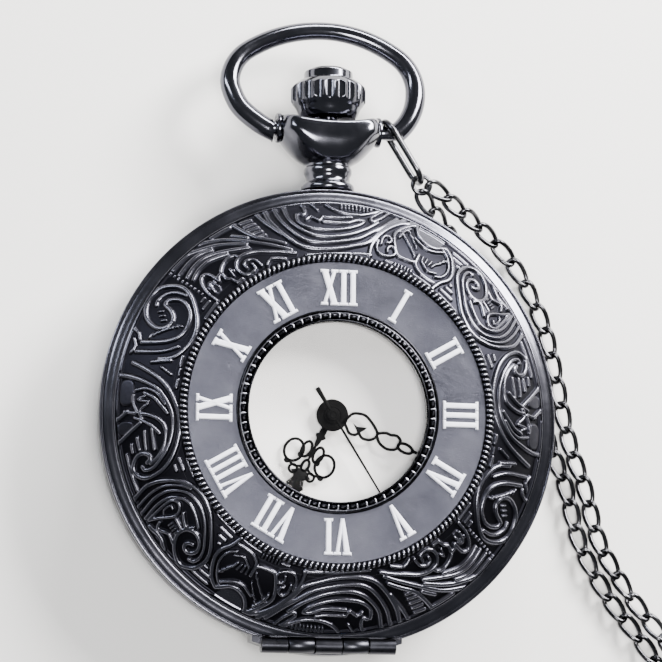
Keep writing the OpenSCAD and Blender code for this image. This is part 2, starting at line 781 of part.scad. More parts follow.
// One side of the bow: its two arcs, its foot and the peg in the pendant's ear
module bow_side() {
    translate([bow_w / 2 - bow_low_r, bow_mid, 0]) rotate([0, 0, foot_turn])
        rotate_extrude(angle = -foot_turn, $fn = 48)
            translate([bow_low_r, 0]) circle(bow_r, $fn = 24);
    translate([bow_side_x, bow_mid, 0])
        rotate_extrude(angle = bow_turn, $fn = 48)
            translate([bow_side_r, 0]) circle(bow_r, $fn = 24);
    translate([collar_x, 0, 0]) sphere(bow_r + 0.1, $fn = 32);
    along_x(peg_in_x, 0, 0) cylinder(r = peg_r, h = collar_x - peg_in_x, $fn = 48);
}

module bow() {
    color("#777782") translate([0, ear_y, stem_z]) rotate([-bow_lean, 0, 0]) union() {
        bow_side();
        mirror([1, 0, 0]) bow_side();
        translate([0, bow_mid - bow_drop, 0]) rotate([0, 0, bow_turn - bow_lap])
            rotate_extrude(angle = 180 - 2 * (bow_turn - bow_lap), $fn = 96)
                translate([bow_top_r, 0]) circle(bow_top_wire_r, $fn = 24);
    }
}

module hour_wheel() {
    phase = mate(0, n_minute_pinion, motion_turn + 180, n_hour);
    color("#c9b06a") {
        translate([0, 0, dial_z - 0.3])
            tooth_wheel(n_hour, m_minute, wheel_t, phase, hour_in_r);
        translate([0, 0, dial_z - 0.3]) difference() {
            cylinder(r = hour_tube_r, h = hour_z + hand_t - dial_z + 0.3);
            translate([0, 0, -1]) cylinder(r = hour_in_r, h = 5);
        }
    }
}

module scroll_ring(x, y, r, thick) {
    translate([x, y]) difference() {
        circle(r, $fn = 48);
        circle(r - thick, $fn = 48);
    }
}

module hour_hand() {
    color("#0c0c0e") rotate(-hour_at) translate([0, 0, hour_z]) linear_extrude(hand_t) difference() {
        union() {
            circle(1.5);
            translate([-0.3, 1]) square([0.6, hour_len - 3.4]);
            for (s = [-1, 1])
                scroll_ring(1.05 * s, hour_len - 4.4, 1, 0.35);
            scroll_ring(0, hour_len - 2.9, 1, 0.35);
            polygon([[-0.75, hour_len - 2.2], [0.75, hour_len - 2.2], [0, hour_len]]);
        }
        circle(hour_tube_r);
    }
}

module centre_wheel() {
    top = minute_z + hand_t;
    wheel_z = plate_bottom - 0.6;
    phase = mate(0, n_third_pinion, third_turn + 180, n_centre);
    color("#c9b06a") {
        translate([0, 0, wheel_z])
            tooth_wheel(n_centre, m_third, wheel_t, phase, tube_in_r);
        translate([0, 0, wheel_z]) difference() {
            cylinder(r = tube_r, h = top - wheel_z);
            translate([0, 0, -1]) cylinder(r = tube_in_r, h = 8);
        }
        translate([0, 0, dial_z - 0.65]) tooth_wheel(n_cannon, m_cannon, 0.3, 0, tube_in_r);
    }
}

module minute_hand() {
    color("#0c0c0e") rotate(-minute_at) translate([0, 0, minute_z]) linear_extrude(hand_t) difference() {
        union() {
            circle(1.3);
            translate([-0.25, 1]) square([0.5, 0.8]);
            scroll_ring(0, 3, 1.35, 0.28);
            scroll_ring(0, 5, 0.75, 0.25);
            scroll_ring(0, 6.6, 0.95, 0.25);
            scroll_ring(0, 8.2, 0.7, 0.22);
            polygon([[-0.3, 8.8], [0.3, 8.8], [0.08, minute_len], [-0.08, minute_len]]);
        }
        circle(tube_r);
    }
}

module fourth_wheel() {
    low = bridge_z + bridge_t;
    phase = mate(0, n_fifth_pinion, fifth_turn + 180, n_fourth);
    color("#c9b06a") {
        translate([0, 0, bridge_z]) cylinder(r = pivot_r, h = bridge_t, $fn = 32);
        translate([0, 0, low]) cylinder(r = second_r, h = second_z + 0.15 - low, $fn = 32);
        translate([0, 0, low + 0.15])
            tooth_wheel(n_fourth, m_fifth, wheel_t - 0.05, phase, second_r);
        translate([0, 0, low + 0.45]) tooth_wheel(n_fourth_pinion, m_fourth, 0.45, 0, second_r);
    }
}

module second_hand() {
    color("#0c0c0e") rotate(-second_at) translate([0, 0, second_z]) {
        linear_extrude(0.1) difference() {
            union() {
                polygon([[-0.12, 0], [0.12, 0], [0.06, second_len], [-0.06, second_len]]);
                polygon([[-0.12, 0], [0.12, 0], [0.28, -3.3], [-0.28, -3.3]]);
                circle(0.9);
            }
            circle(0.5);
        }
        rotate_extrude() polygon([
            [second_r, -0.05], [0.6, -0.05], [0.6, 0.25], [0.45, 0.3], [0, 0.3], [0, 0.15], [second_r, 0.15]
        ]);
    }
}

// Arbor with a pivot at each end, at p
module arbor(p, r) {
    low = bridge_z + bridge_t;
    translate([p[0], p[1], bridge_z]) cylinder(r = pivot_r, h = plate_bottom + 0.35 - bridge_z, $fn = 32);
    translate([p[0], p[1], low + 0.05]) cylinder(r = r, h = plate_bottom - low - 0.1, $fn = 32);
}

module third_wheel() {
    low = bridge_z + bridge_t;
    color("#c9b06a") {
        arbor(third_at, 0.14);
        translate([third_at[0], third_at[1], low + 0.55])
            tooth_wheel(n_third, m_fourth, wheel_t, mate(0, n_fourth_pinion, third_turn, n_third), 0.14);
        translate([third_at[0], third_at[1], plate_bottom - 0.7])
            tooth_wheel(n_third_pinion, m_third, 0.4, 0, 0.14);
    }
}

module fifth_wheel() {
    low = bridge_z + bridge_t;
    color("#c9b06a") {
        arbor(fifth_at, 0.16);
        translate([fifth_at[0], fifth_at[1], low + 0.05])
            tooth_wheel(n_fifth_pinion, m_fifth, 0.35, 0, 0.16);
        translate([fifth_at[0], fifth_at[1], plate_bottom - 1])
            tooth_wheel(n_fifth, m_rotor, wheel_t, mate(0, n_rotor, rotor_turn + 180, n_fifth), 0.16);
    }
}

module rotor() {
    low = bridge_z + bridge_t;
    color("#70707a") {
        arbor(rotor_at, 0.14);
        translate([rotor_at[0], rotor_at[1], low + 0.05]) difference() {
            cylinder(r = 0.8, h = 0.6, $fn = 48);
            translate([0, 0, -1]) cylinder(r = 0.14, h = 3, $fn = 32);
        }
        translate([rotor_at[0], rotor_at[1], plate_bottom - 1.1]) tooth_wheel(n_rotor, m_rotor, 0.4, 0, 0.14);
    }
}

module minute_wheel() {
    color("#c9b06a") translate([motion_at[0], motion_at[1], 0]) {
        translate([0, 0, motion_z + 0.2])
            tooth_wheel(n_minute, m_cannon, wheel_t, mate(0, n_cannon, motion_turn, n_minute), 0.3);
        translate([0, 0, motion_z + 0.4]) tooth_wheel(n_minute_pinion, m_minute, 0.35, 0, 0.3);
    }
}

// Long link that hooks round the bow's right peg
module clip_link() {
    color("#5a5a62") translate([clip_x, ear_y, stem_z]) rotate([0, 0, clip_turn])
        translate([clip_in, 0, 0]) rotate([90, 0, 0]) {
            for (s = [-1, 1])
                translate([0, s * clip_half_w, 0]) rotate([0, 90, 0])
                    cylinder(r = clip_wire_r, h = clip_run, $fn = 32);
            rotate([0, 0, 90]) rotate_extrude(angle = 180, $fn = 64)
                translate([clip_half_w, 0]) circle(clip_wire_r, $fn = 32);
            translate([clip_run, 0, 0]) rotate([0, 0, -90]) rotate_extrude(angle = 180, $fn = 64)
                translate([clip_half_w, 0]) circle(clip_wire_r, $fn = 32);
        }
}

module jump_ring() {
    reach = clip_in + clip_run + clip_half_w + 0.3;
    color("#5a5a62") translate([clip_x + reach * cos(clip_turn), ear_y + reach * sin(clip_turn), stem_z])
        rotate_extrude($fn = 64) translate([jump_r, 0]) circle(jump_wire_r, $fn = 32);
}

module chain_strand_a() {
    color("#3b3b42") swept_tube(STRAND_A, chain_r, 8);
}

module chain_strand_b() {
    color("#3b3b42") swept_tube(STRAND_B, chain_r, 8);
}

module chain_coil() {
    color("#3b3b42") translate([coil_at[0], coil_at[1], 0]) difference() {
        cylinder(r = coil_out_r, h = coil_h, $fn = 96);
        translate([0, 0, -1]) cylinder(r = coil_in_r, h = coil_h + 2, $fn = 96);
    }
}

mid_case();
back_cover();
back_gasket();
pendant();
hinge_pin();
lift_spring();
inner_bezel();
dial_crystal();
dial();
movement_ring();
main_plate();
train_bridge();
stator();
coil_core();
drive_coil();
circuit_board();
timing_chip();
quartz_can();
button_cell();
battery_strap();
movement_screws();
cover_rim();
cover_border();
cover_liner();
rope_ring();
numeral_ring();
cover_numerals();
window_bezel();
window_glass();
cover_latch();
setting_lever();
winding_stem();
sliding_pinion();
crown();
bow();
hour_wheel();
hour_hand();
centre_wheel();
minute_hand();
fourth_wheel();
second_hand();
third_wheel();
fifth_wheel();
rotor();
minute_wheel();
clip_link();
jump_ring();
chain_strand_a();
chain_strand_b();
chain_coil();
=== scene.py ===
import bpy, bmesh, math
import numpy as np
from mathutils import Matrix, Vector


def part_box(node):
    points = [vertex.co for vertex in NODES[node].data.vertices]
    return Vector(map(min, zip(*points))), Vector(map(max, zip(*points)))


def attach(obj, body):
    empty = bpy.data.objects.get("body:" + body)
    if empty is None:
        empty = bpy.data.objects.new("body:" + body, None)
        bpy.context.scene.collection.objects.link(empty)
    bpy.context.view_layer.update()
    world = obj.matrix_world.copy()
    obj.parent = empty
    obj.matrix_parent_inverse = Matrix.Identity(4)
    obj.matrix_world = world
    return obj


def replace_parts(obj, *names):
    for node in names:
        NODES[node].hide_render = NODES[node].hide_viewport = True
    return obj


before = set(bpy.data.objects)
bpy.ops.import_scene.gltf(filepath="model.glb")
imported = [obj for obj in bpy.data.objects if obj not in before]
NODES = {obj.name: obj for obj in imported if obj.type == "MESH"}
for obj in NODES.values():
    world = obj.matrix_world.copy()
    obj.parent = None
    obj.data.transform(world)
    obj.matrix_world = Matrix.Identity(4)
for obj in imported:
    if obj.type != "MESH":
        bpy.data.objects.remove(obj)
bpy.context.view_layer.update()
SCENE = bpy.context.scene
MM = 0.001
rng = np.random.default_rng(11)

# -------------------------------------------------- camera
EAR_Y, AXIS_Z = 30.75, 6.3


def make_camera(lean_x, lean_y, target, distance, roll, lens):
    """lean_x and lean_y: how far, in degrees, the camera stands towards 9 and towards 6 o'clock."""
    back = Vector((-math.sin(math.radians(lean_x)), -math.sin(math.radians(lean_y)), 0))
    back.z = math.sqrt(1 - back.length_squared)
    right = (-back).cross(Vector((0, 1, 0))).normalized()
    up = right.cross(-back)
    turn = Matrix.Rotation(math.radians(roll), 3, back)
    right, up = turn @ right, turn @ up
    data = bpy.data.cameras.new("camera")
    data.lens, data.sensor_width = lens, 36
    data.clip_start, data.clip_end = 0.01, 10
    cam = bpy.data.objects.new("camera", data)
    SCENE.collection.objects.link(cam)
    place = Matrix((right, up, back)).transposed().to_4x4()
    place.translation = (Vector(target) + back * distance) * MM
    cam.matrix_world = place
    SCENE.camera = cam


make_camera(10.75, 9.1, (-0.04, 8.9, 9.0), 300, 0.42, 157.8)


# -------------------------------------------------- node materials
def new_mat(name, color=(0.5, 0.5, 0.5), metallic=0.0, rough=0.4):
    m = bpy.data.materials.new(name)
    m.use_nodes = True
    nt = m.node_tree
    bsdf = nt.nodes["Principled BSDF"]
    bsdf.inputs["Base Color"].default_value = (*color, 1)
    bsdf.inputs["Metallic"].default_value = metallic
    bsdf.inputs["Roughness"].default_value = rough
    return m, nt, bsdf


def node(nt, kind, **settings):
    n = nt.nodes.new(kind)
    for key, value in settings.items():
        if key in n.inputs:
            n.inputs[key].default_value = value
        else:
            setattr(n, key, value)
    return n


def coords(nt, scale=(1, 1, 1), turn=(0, 0, 0)):
    """Object coordinates, stretched and turned."""
    tex = nt.nodes.new("ShaderNodeTexCoord")
    mapping = nt.nodes.new("ShaderNodeMapping")
    mapping.inputs["Scale"].default_value = scale
    mapping.inputs["Rotation"].default_value = turn
    nt.links.new(tex.outputs["Object"], mapping.inputs["Vector"])
    return mapping.outputs["Vector"]


def noise(nt, vector, scale, detail=4, rough=0.55):
    n = node(nt, "ShaderNodeTexNoise", Scale=scale, Detail=detail, Roughness=rough)
    nt.links.new(vector, n.inputs["Vector"])
    return n.outputs["Fac"]


def ramp(nt, fac, stops):
    """stops: (position, colour or grey value)."""
    r = nt.nodes.new("ShaderNodeValToRGB")
    while len(r.color_ramp.elements) < len(stops):
        r.color_ramp.elements.new(0.5)
    for e, (pos, c) in zip(r.color_ramp.elements, stops):
        e.position = pos
        e.color = (c, c, c, 1) if isinstance(c, (int, float)) else (*c, 1)
    nt.links.new(fac, r.inputs["Fac"])
    return r.outputs["Color"]


def bump(nt, bsdf, height, strength, distance):
    b = node(nt, "ShaderNodeBump", Strength=strength, Distance=distance)
    nt.links.new(height, b.inputs["Height"])
    nt.links.new(b.outputs["Normal"], bsdf.inputs["Normal"])


def metal(name, dark, light, rough, grain=(1, 1, 1), scale=900, depth=0.25, spread=0.12):
    """Plated metal: two tones of wear, roughness that varies, and a fine grain."""
    m, nt, bsdf = new_mat(name, dark, 1.0, rough)
    v = coords(nt)
    tone = ramp(nt, noise(nt, v, 140, 6, 0.65), [(0.32, dark), (0.72, light)])
    nt.links.new(tone, bsdf.inputs["Base Color"])
    shine = ramp(nt, noise(nt, v, 420, 5, 0.6), [(0.3, rough - spread / 2), (0.75, rough + spread)])
    nt.links.new(shine, bsdf.inputs["Roughness"])
    bump(nt, bsdf, noise(nt, coords(nt, grain), scale, 5, 0.6), depth, 0.00002)
    return m


def relief_metal(name, deep, mid, high, rough_deep=0.55, rough_high=0.24):
    """Antiqued metal: the stored height of the relief sets how dark and how rough it is; on the beaded bezel
    that stored value also holds a painted highlight.
    """
    m, nt, bsdf = new_mat(name, mid, 1.0, 0.35)
    height = node(nt, "ShaderNodeAttribute", attribute_name="relief").outputs["Fac"]
    v = coords(nt)
    wear = node(nt, "ShaderNodeMath", operation="MULTIPLY_ADD")
    nt.links.new(noise(nt, v, 700, 6, 0.65), wear.inputs[0])
    wear.inputs[1].default_value = 0.34
    nt.links.new(height, wear.inputs[2])
    total = node(nt, "ShaderNodeMath", operation="SUBTRACT")
    nt.links.new(wear.outputs[0], total.inputs[0])
    total.inputs[1].default_value = 0.17
    nt.links.new(ramp(nt, total.outputs[0], [(0.08, deep), (0.5, mid), (0.95, high)]),
                 bsdf.inputs["Base Color"])
    nt.links.new(ramp(nt, total.outputs[0], [(0.1, rough_deep), (0.8, rough_high)]),
                 bsdf.inputs["Roughness"])
    bump(nt, bsdf, noise(nt, v, 2600, 4, 0.6), 0.35, 0.00002)
    return m


def paint(name, color, shade, rough, scale=500, depth=0.1, hatch=None):
    """Satin paint over metal, with faint mottling; hatch adds fine brushed lines."""
    m, nt, bsdf = new_mat(name, color, 0.0, rough)
    v = coords(nt)
    nt.links.new(ramp(nt, noise(nt, v, scale, 5), [(0.3, shade), (0.7, color)]), bsdf.inputs["Base Color"])
    nt.links.new(ramp(nt, noise(nt, v, scale * 2.3, 4), [(0.3, rough - 0.06), (0.7, rough + 0.08)]),
                 bsdf.inputs["Roughness"])
    lines = coords(nt, hatch[0], (0, 0, hatch[1])) if hatch else v
    bump(nt, bsdf, noise(nt, lines, scale * 3, 6, 0.65), depth, 0.00003)
    return m


def glass(name, alpha):
    """Clear glass seen straight on: next to no colour of its own, with a clear shine."""
    m, nt, bsdf = new_mat(name, (0.01, 0.01, 0.012), 0.0, 0.02)
    bsdf.inputs["Specular IOR Level"].default_value = 0.6
    smudge = noise(nt, coords(nt), 160, 4)
    nt.links.new(ramp(nt, smudge, [(0.45, 0.01), (0.8, 0.03)]), bsdf.inputs["Roughness"])
    nt.links.new(ramp(nt, smudge, [(0.35, alpha), (0.75, alpha + 0.01)]), bsdf.inputs["Alpha"])
    return m


GUN = metal("gunmetal_polish", (0.075, 0.075, 0.09), (0.115, 0.117, 0.135), 0.14, spread=0.07, depth=0.12)
RIM = metal("gunmetal_rim", (0.075, 0.075, 0.092), (0.11, 0.11, 0.13), 0.2, spread=0.06, depth=0.15)
# a darker gunmetal; on the mid case, hinge pin and cover knuckles this darkness is painted shade that keeps
# the hinge under the rim at 6 o'clock dim
DARK_SHADE_SHELL = metal("gunmetal_case_dark_shade", (0.025, 0.025, 0.03), (0.045, 0.046, 0.055), 0.3)
ENGRAVED = relief_metal("engraved_border", (0.009, 0.009, 0.012), (0.032, 0.032, 0.041),
                        (0.115, 0.115, 0.138), 0.42, 0.25)
ROPE = relief_metal("rope_ring_metal", (0.003, 0.003, 0.004), (0.03, 0.03, 0.038), (0.18, 0.18, 0.21), 0.5,
                    0.25)
# the light tone of the beaded ring also paints the bright glint in the middle of each bead: painted
# highlight
BEADED = relief_metal("beaded_ring", (0.003, 0.003, 0.004), (0.04, 0.04, 0.046), (0.42, 0.42, 0.47), 0.22,
                      0.3)
PLATE = metal("numeral_plate_satin", (0.042, 0.043, 0.056), (0.075, 0.076, 0.094), 0.36, (1, 9, 1), 2600,
              1.0)
WHITE = paint("numeral_white_paint", (0.86, 0.86, 0.93), (0.7, 0.71, 0.8), 0.34, 1500, 0.3)
DIAL = paint("dial_enamel", (1.0, 0.98, 0.96), (0.97, 0.945, 0.925), 0.5, 260, 0.08)
HANDS = metal("hand_blackened", (0.004, 0.004, 0.004), (0.01, 0.01, 0.01), 0.55)
CRYSTAL = glass("mineral_glass", 0.02)
CHAIN = metal("chain_oxidised", (0.025, 0.025, 0.027), (0.1, 0.1, 0.108), 0.2, (1, 1, 1), 2500, 0.4)
STEEL = metal("steel_brushed", (0.42, 0.42, 0.45), (0.62, 0.62, 0.65), 0.32, (1, 14, 1), 1600, 0.5)
BLUED = metal("steel_blued", (0.05, 0.09, 0.22), (0.12, 0.18, 0.36), 0.28, (14, 1, 1), 1600, 0.4)
BRASS = metal("brass_gilt", (0.52, 0.36, 0.12), (0.78, 0.6, 0.28), 0.34, (1, 12, 1), 1400, 0.5)
COPPER = metal("copper_winding", (0.4, 0.14, 0.05), (0.68, 0.3, 0.12), 0.4, (1, 60, 1), 900, 0.9)
BOARD = paint("board_solder_mask", (0.03, 0.16, 0.08), (0.02, 0.11, 0.06), 0.4, 1200, 0.4)
RESIN = paint("moulded_resin", (0.02, 0.02, 0.02), (0.03, 0.03, 0.03), 0.6, 3000, 0.5)
PLASTIC = paint("moulded_plastic", (0.7, 0.7, 0.66), (0.64, 0.64, 0.6), 0.5, 1800, 0.3)
RUBBER = paint("seal_rubber", (0.02, 0.02, 0.02), (0.035, 0.035, 0.035), 0.75, 2200, 0.6)


# -------------------------------------------------- mesh helpers, all in millimetres
def make(name, verts, faces, material, body, slot, crease=38, relief=None, merge=True):
    me = bpy.data.meshes.new(name)
    me.from_pydata([(float(x) * MM, float(y) * MM, float(z) * MM) for x, y, z in verts], [], faces)
    if relief is not None:
        layer = me.attributes.new("relief", "FLOAT", "POINT")
        layer.data.foreach_set("value", np.asarray(relief, dtype=np.float32).ravel())
    bm = bmesh.new()
    bm.from_mesh(me)
    if merge:
        bmesh.ops.remove_doubles(bm, verts=bm.verts, dist=2e-7)
        bmesh.ops.recalc_face_normals(bm, faces=bm.faces)
    limit = math.radians(crease)
    for e in bm.edges:
        e.smooth = len(e.link_faces) != 2 or e.calc_face_angle(0) < limit
    for f in bm.faces:
        f.smooth = True
    bm.to_mesh(me)
    bm.free()
    ob = bpy.data.objects.new(name, me)
    SCENE.collection.objects.link(ob)
    me.materials.append(material)
    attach(ob, body)
    return ob


def grid_faces(rows, cols, wrap_rows=False, wrap_cols=True):
    faces = []
    for i in range(rows if wrap_rows else rows - 1):
        for j in range(cols if wrap_cols else cols - 1):
            a, b = i * cols + j, i * cols + (j + 1) % cols
            c, d = ((i + 1) % rows) * cols + (j + 1) % cols, ((i + 1) % rows) * cols + j
            faces.append((a, b, c, d))
    return faces


def lathe(name, profile, material, body, slot, n=240, closed=True, along="z", place=None, crease=38):
    """Revolves (radius, height) points about the dial's axis, or about the stem's, pointing along +Y."""
    ang = np.linspace(0, 2 * math.pi, n, endpoint=False)
    verts = []
    for r, h in profile:
        for a in ang:
            x, y = r * math.sin(a), r * math.cos(a)
            verts.append((x, y, h) if along == "z" else (x, h, AXIS_Z + y))
    if place:
        verts = [place(v) for v in verts]
    return make(name, verts, grid_faces(len(profile), n, wrap_rows=closed), material, body, slot, crease)


def tube(points, radii, sides=12, flat=1.0, closed=False, up=(0, 0, 1)):
    """Vertices and faces of a round wire along points; radii may vary, flat scales it along up."""
    p = np.asarray(points, float)
    n = len(p)
    radii = np.broadcast_to(np.asarray(radii, float), (n,))
    if closed:
        d = np.roll(p, -1, 0) - np.roll(p, 1, 0)
    else:
        d = np.gradient(p, axis=0)
    d /= np.linalg.norm(d, axis=1)[:, None]
    upv = np.asarray(up, float)
    side = np.cross(d, upv)
    short = np.linalg.norm(side, axis=1) < 1e-6
    side[short] = np.cross(d[short], (0.0, 1.0, 0.01))
    side /= np.linalg.norm(side, axis=1)[:, None]
    top = np.cross(side, d)
    verts = []
    for i in range(n):
        for k in range(sides):
            a = 2 * math.pi * k / sides
            verts.append(p[i] + radii[i] * (math.cos(a) * side[i] + flat * math.sin(a) * top[i]))
    faces = grid_faces(n, sides, wrap_rows=closed)
    if not closed:
        faces.append(tuple(range(sides))[::-1])
        faces.append(tuple((n - 1) * sides + k for k in range(sides)))
    return verts, faces


def join(parts):
    verts, faces = [], []
    for v, f in parts:
        base = len(verts)
        verts.extend(v)
        faces.extend(tuple(i + base for i in face) for face in f)
    return verts, faces


def smooth_line(pts, step):
    """Catmull-Rom curve through the points, cut into pieces about step long."""
    p = np.asarray(pts, float)
    p = np.vstack([2 * p[0] - p[1], p, 2 * p[-1] - p[-2]])
    out = []
    for i in range(1, len(p) - 2):
        n = max(2, int(np.linalg.norm(p[i + 1] - p[i]) / step))
        t = np.linspace(0, 1, n, endpoint=False)[:, None]
        out.append(0.5 * (2 * p[i] + (p[i + 1] - p[i - 1]) * t
                          + (2 * p[i - 1] - 5 * p[i] + 4 * p[i + 1] - p[i + 2]) * t ** 2
                          + (3 * p[i] - p[i - 1] - 3 * p[i + 1] + p[i + 2]) * t ** 3))
    return np.vstack(out + [p[-2][None]])


# -------------------------------------------------- chain: one closed loop, from the ring and back
COIL_AT = np.array([56.0, -24.0])
CLIP_TURN = math.radians(-58)
CLIP = np.array([math.cos(CLIP_TURN), math.sin(CLIP_TURN)])
RING_AT = np.array([6.75, EAR_Y]) + 6.35 * CLIP
LAY = 0.85
STRAND_A = [
    [10.4, 24, 6], [12.2, 22.5, 4.6], [14, 20.7, 3], [15.6, 19, 1.7], [17.2, 17, 1], [18.8, 14.8, 1],
    [20.2, 12.6, 1], [21.4, 10.3, 1], [22.4, 7.9, 1], [23.2, 5.4, 1], [24, 2.8, 1], [24.9, 0.2, 1],
    [26.1, -2.9, 1], [27.2, -5.7, 1], [28.5, -11, 1], [29.8, -14, 1], [31.2, -16.4, 1], [32.9, -18.9, 1],
    [34.8, -21.2, 1], [36.6, -23.6, 1], [38.3, -26.1, 1], [39.6, -28.3, 1], [40.4, -29.7, 1]]
STRAND_B = [
    [11.9, 25, 6], [13.9, 23.8, 4.8], [16.4, 22.4, 3.2], [18.7, 20.9, 1.8], [20.8, 19, 1], [22.5, 16.6, 1],
    [23.8, 14, 1], [24.9, 11.4, 1], [25.6, 8.7, 1], [26.2, 6, 1], [26.7, 3.2, 1], [27.3, 0.5, 1],
    [28.1, -2.5, 1], [29.2, -5.3, 1], [30.5, -10.4, 1], [31.6, -13, 1], [33, -15.3, 1], [34.6, -17.7, 1],
    [36.4, -19.9, 1], [38, -22, 1.6], [39.2, -24.6, 2.4], [39.9, -27.2, 3], [40.4, -29.7, 3.05]]


def spiral(start_deg, turns, r0, r1, z, way):
    n = int(64 * turns)
    t = np.linspace(0, 1, n)
    a = math.radians(start_deg) + way * t * turns * 2 * math.pi
    r = r0 + (r1 - r0) * t
    return np.stack([COIL_AT[0] + r * np.cos(a), COIL_AT[1] + r * np.sin(a), np.full(n, z)], 1), a[-1]


def chain_path(turns_in):
    a = np.array(STRAND_A, float)
    b = np.array(STRAND_B, float)
    low, end = spiral(200, turns_in, 16.6, 8.0, 1.0, 1)
    high, _ = spiral(math.degrees(end) + 180, turns_in - 0.5, 8.0, 16.6, 3.05, -1)
    t = np.linspace(0, 1, 26)[1:-1]
    e = np.array([math.cos(end), math.sin(end)])
    q = np.array([-e[1], e[0]])
    bend = []
    for s in t:
        if s < 0.5:
            f = s * 2 * math.pi
            xy = COIL_AT + e * (4 + 4 * math.cos(f)) + q * 4 * math.sin(f)
        else:
            f = (s - 0.5) * 2 * math.pi
            xy = COIL_AT - e * (4 - 4 * math.cos(f)) - q * 4 * math.sin(f)
        bend.append([xy[0], xy[1], 1.0 + 2.05 * (3 * s * s - 2 * s ** 3)])
    route = np.vstack([a, low[1:], bend, high, b[::-1][1:]])
    route = np.vstack([[[RING_AT[0] + 0.25, RING_AT[1] - 0.75, AXIS_Z]], route,
                       [[RING_AT[0] + 0.75, RING_AT[1] - 0.25, AXIS_Z]]])
    route = smooth_line(route, 0.4)
    route[:, 2] = np.maximum(route[:, 2] - (1.0 - LAY), LAY)
    return route


def along(route, spacing):
    """Even points on a route, and the direction at each."""
    d = np.linalg.norm(np.diff(route, axis=0), axis=1)
    s = np.concatenate([[0], np.cumsum(d)])
    n = int(round(s[-1] / spacing))
    at = (np.arange(n) + 0.5) * s[-1] / n
    p = np.stack([np.interp(at, s, route[:, k]) for k in range(3)], 1)
    e = 0.45 * s[-1] / n
    q = np.stack([np.interp(at + e, s, route[:, k]) - np.interp(at - e, s, route[:, k])
                  for k in range(3)], 1)
    return p, q / np.linalg.norm(q, axis=1)[:, None], s[-1]


CHAIN_PITCH, CHAIN_LENGTH = 2.75, 800
LOW_TURNS, HIGH_TURNS = 3.0, 6.0
for _ in range(24):
    turns = (LOW_TURNS + HIGH_TURNS) / 2
    if along(chain_path(turns), CHAIN_PITCH)[2] < CHAIN_LENGTH:
        LOW_TURNS = turns
    else:
        HIGH_TURNS = turns
ROUTE = chain_path(turns)
LINK_AT, LINK_DIR = along(ROUTE, CHAIN_PITCH)[:2]


def curb_link(p, d, roll):
    """One link: an oval of wire, twisted a quarter turn from end to end."""
    half_l, half_w, wire = 1.62, 0.74, 0.26
    side = np.cross(d, (0, 0, 1.0))
    side /= np.linalg.norm(side)
    top = np.cross(side, d)
    pts, ups = [], []
    for k in range(22):
        t = 2 * math.pi * k / 22
        c, s = math.cos(t), math.sin(t)
        x = half_l * math.copysign(abs(c) ** 0.8, c)
        y = half_w * math.copysign(abs(s) ** 0.72, s)
        a = roll + math.radians(40) * x / half_l
        pts.append(p + x * d + y * (math.cos(a) * side + math.sin(a) * top))
        ups.append(-math.sin(roll) * side + math.cos(roll) * top)
    return tube(pts, wire, 7, closed=True, up=ups[0])


links = [curb_link(p, d, rng.normal(0, 0.16)) for p, d in zip(LINK_AT, LINK_DIR)]
v, f = join(links)
chain = make("curb_chain", v, f, CHAIN, "case", "chain_metal", crease=80, merge=False)
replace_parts(chain, "chain_strand_a", "chain_strand_b", "chain_coil")


# -------------------------------------------------- engraved border, as a height over the cover's dome
RIM_IN, ROPE_OUT, BORDER_Z, DOME_RISE, DOME_BULGE = 22.25, 16.3, 9.6, 3.5, 0.35
SLANT, ARC = 6.6, 0.3333           # millimetres for the whole width, and for one degree
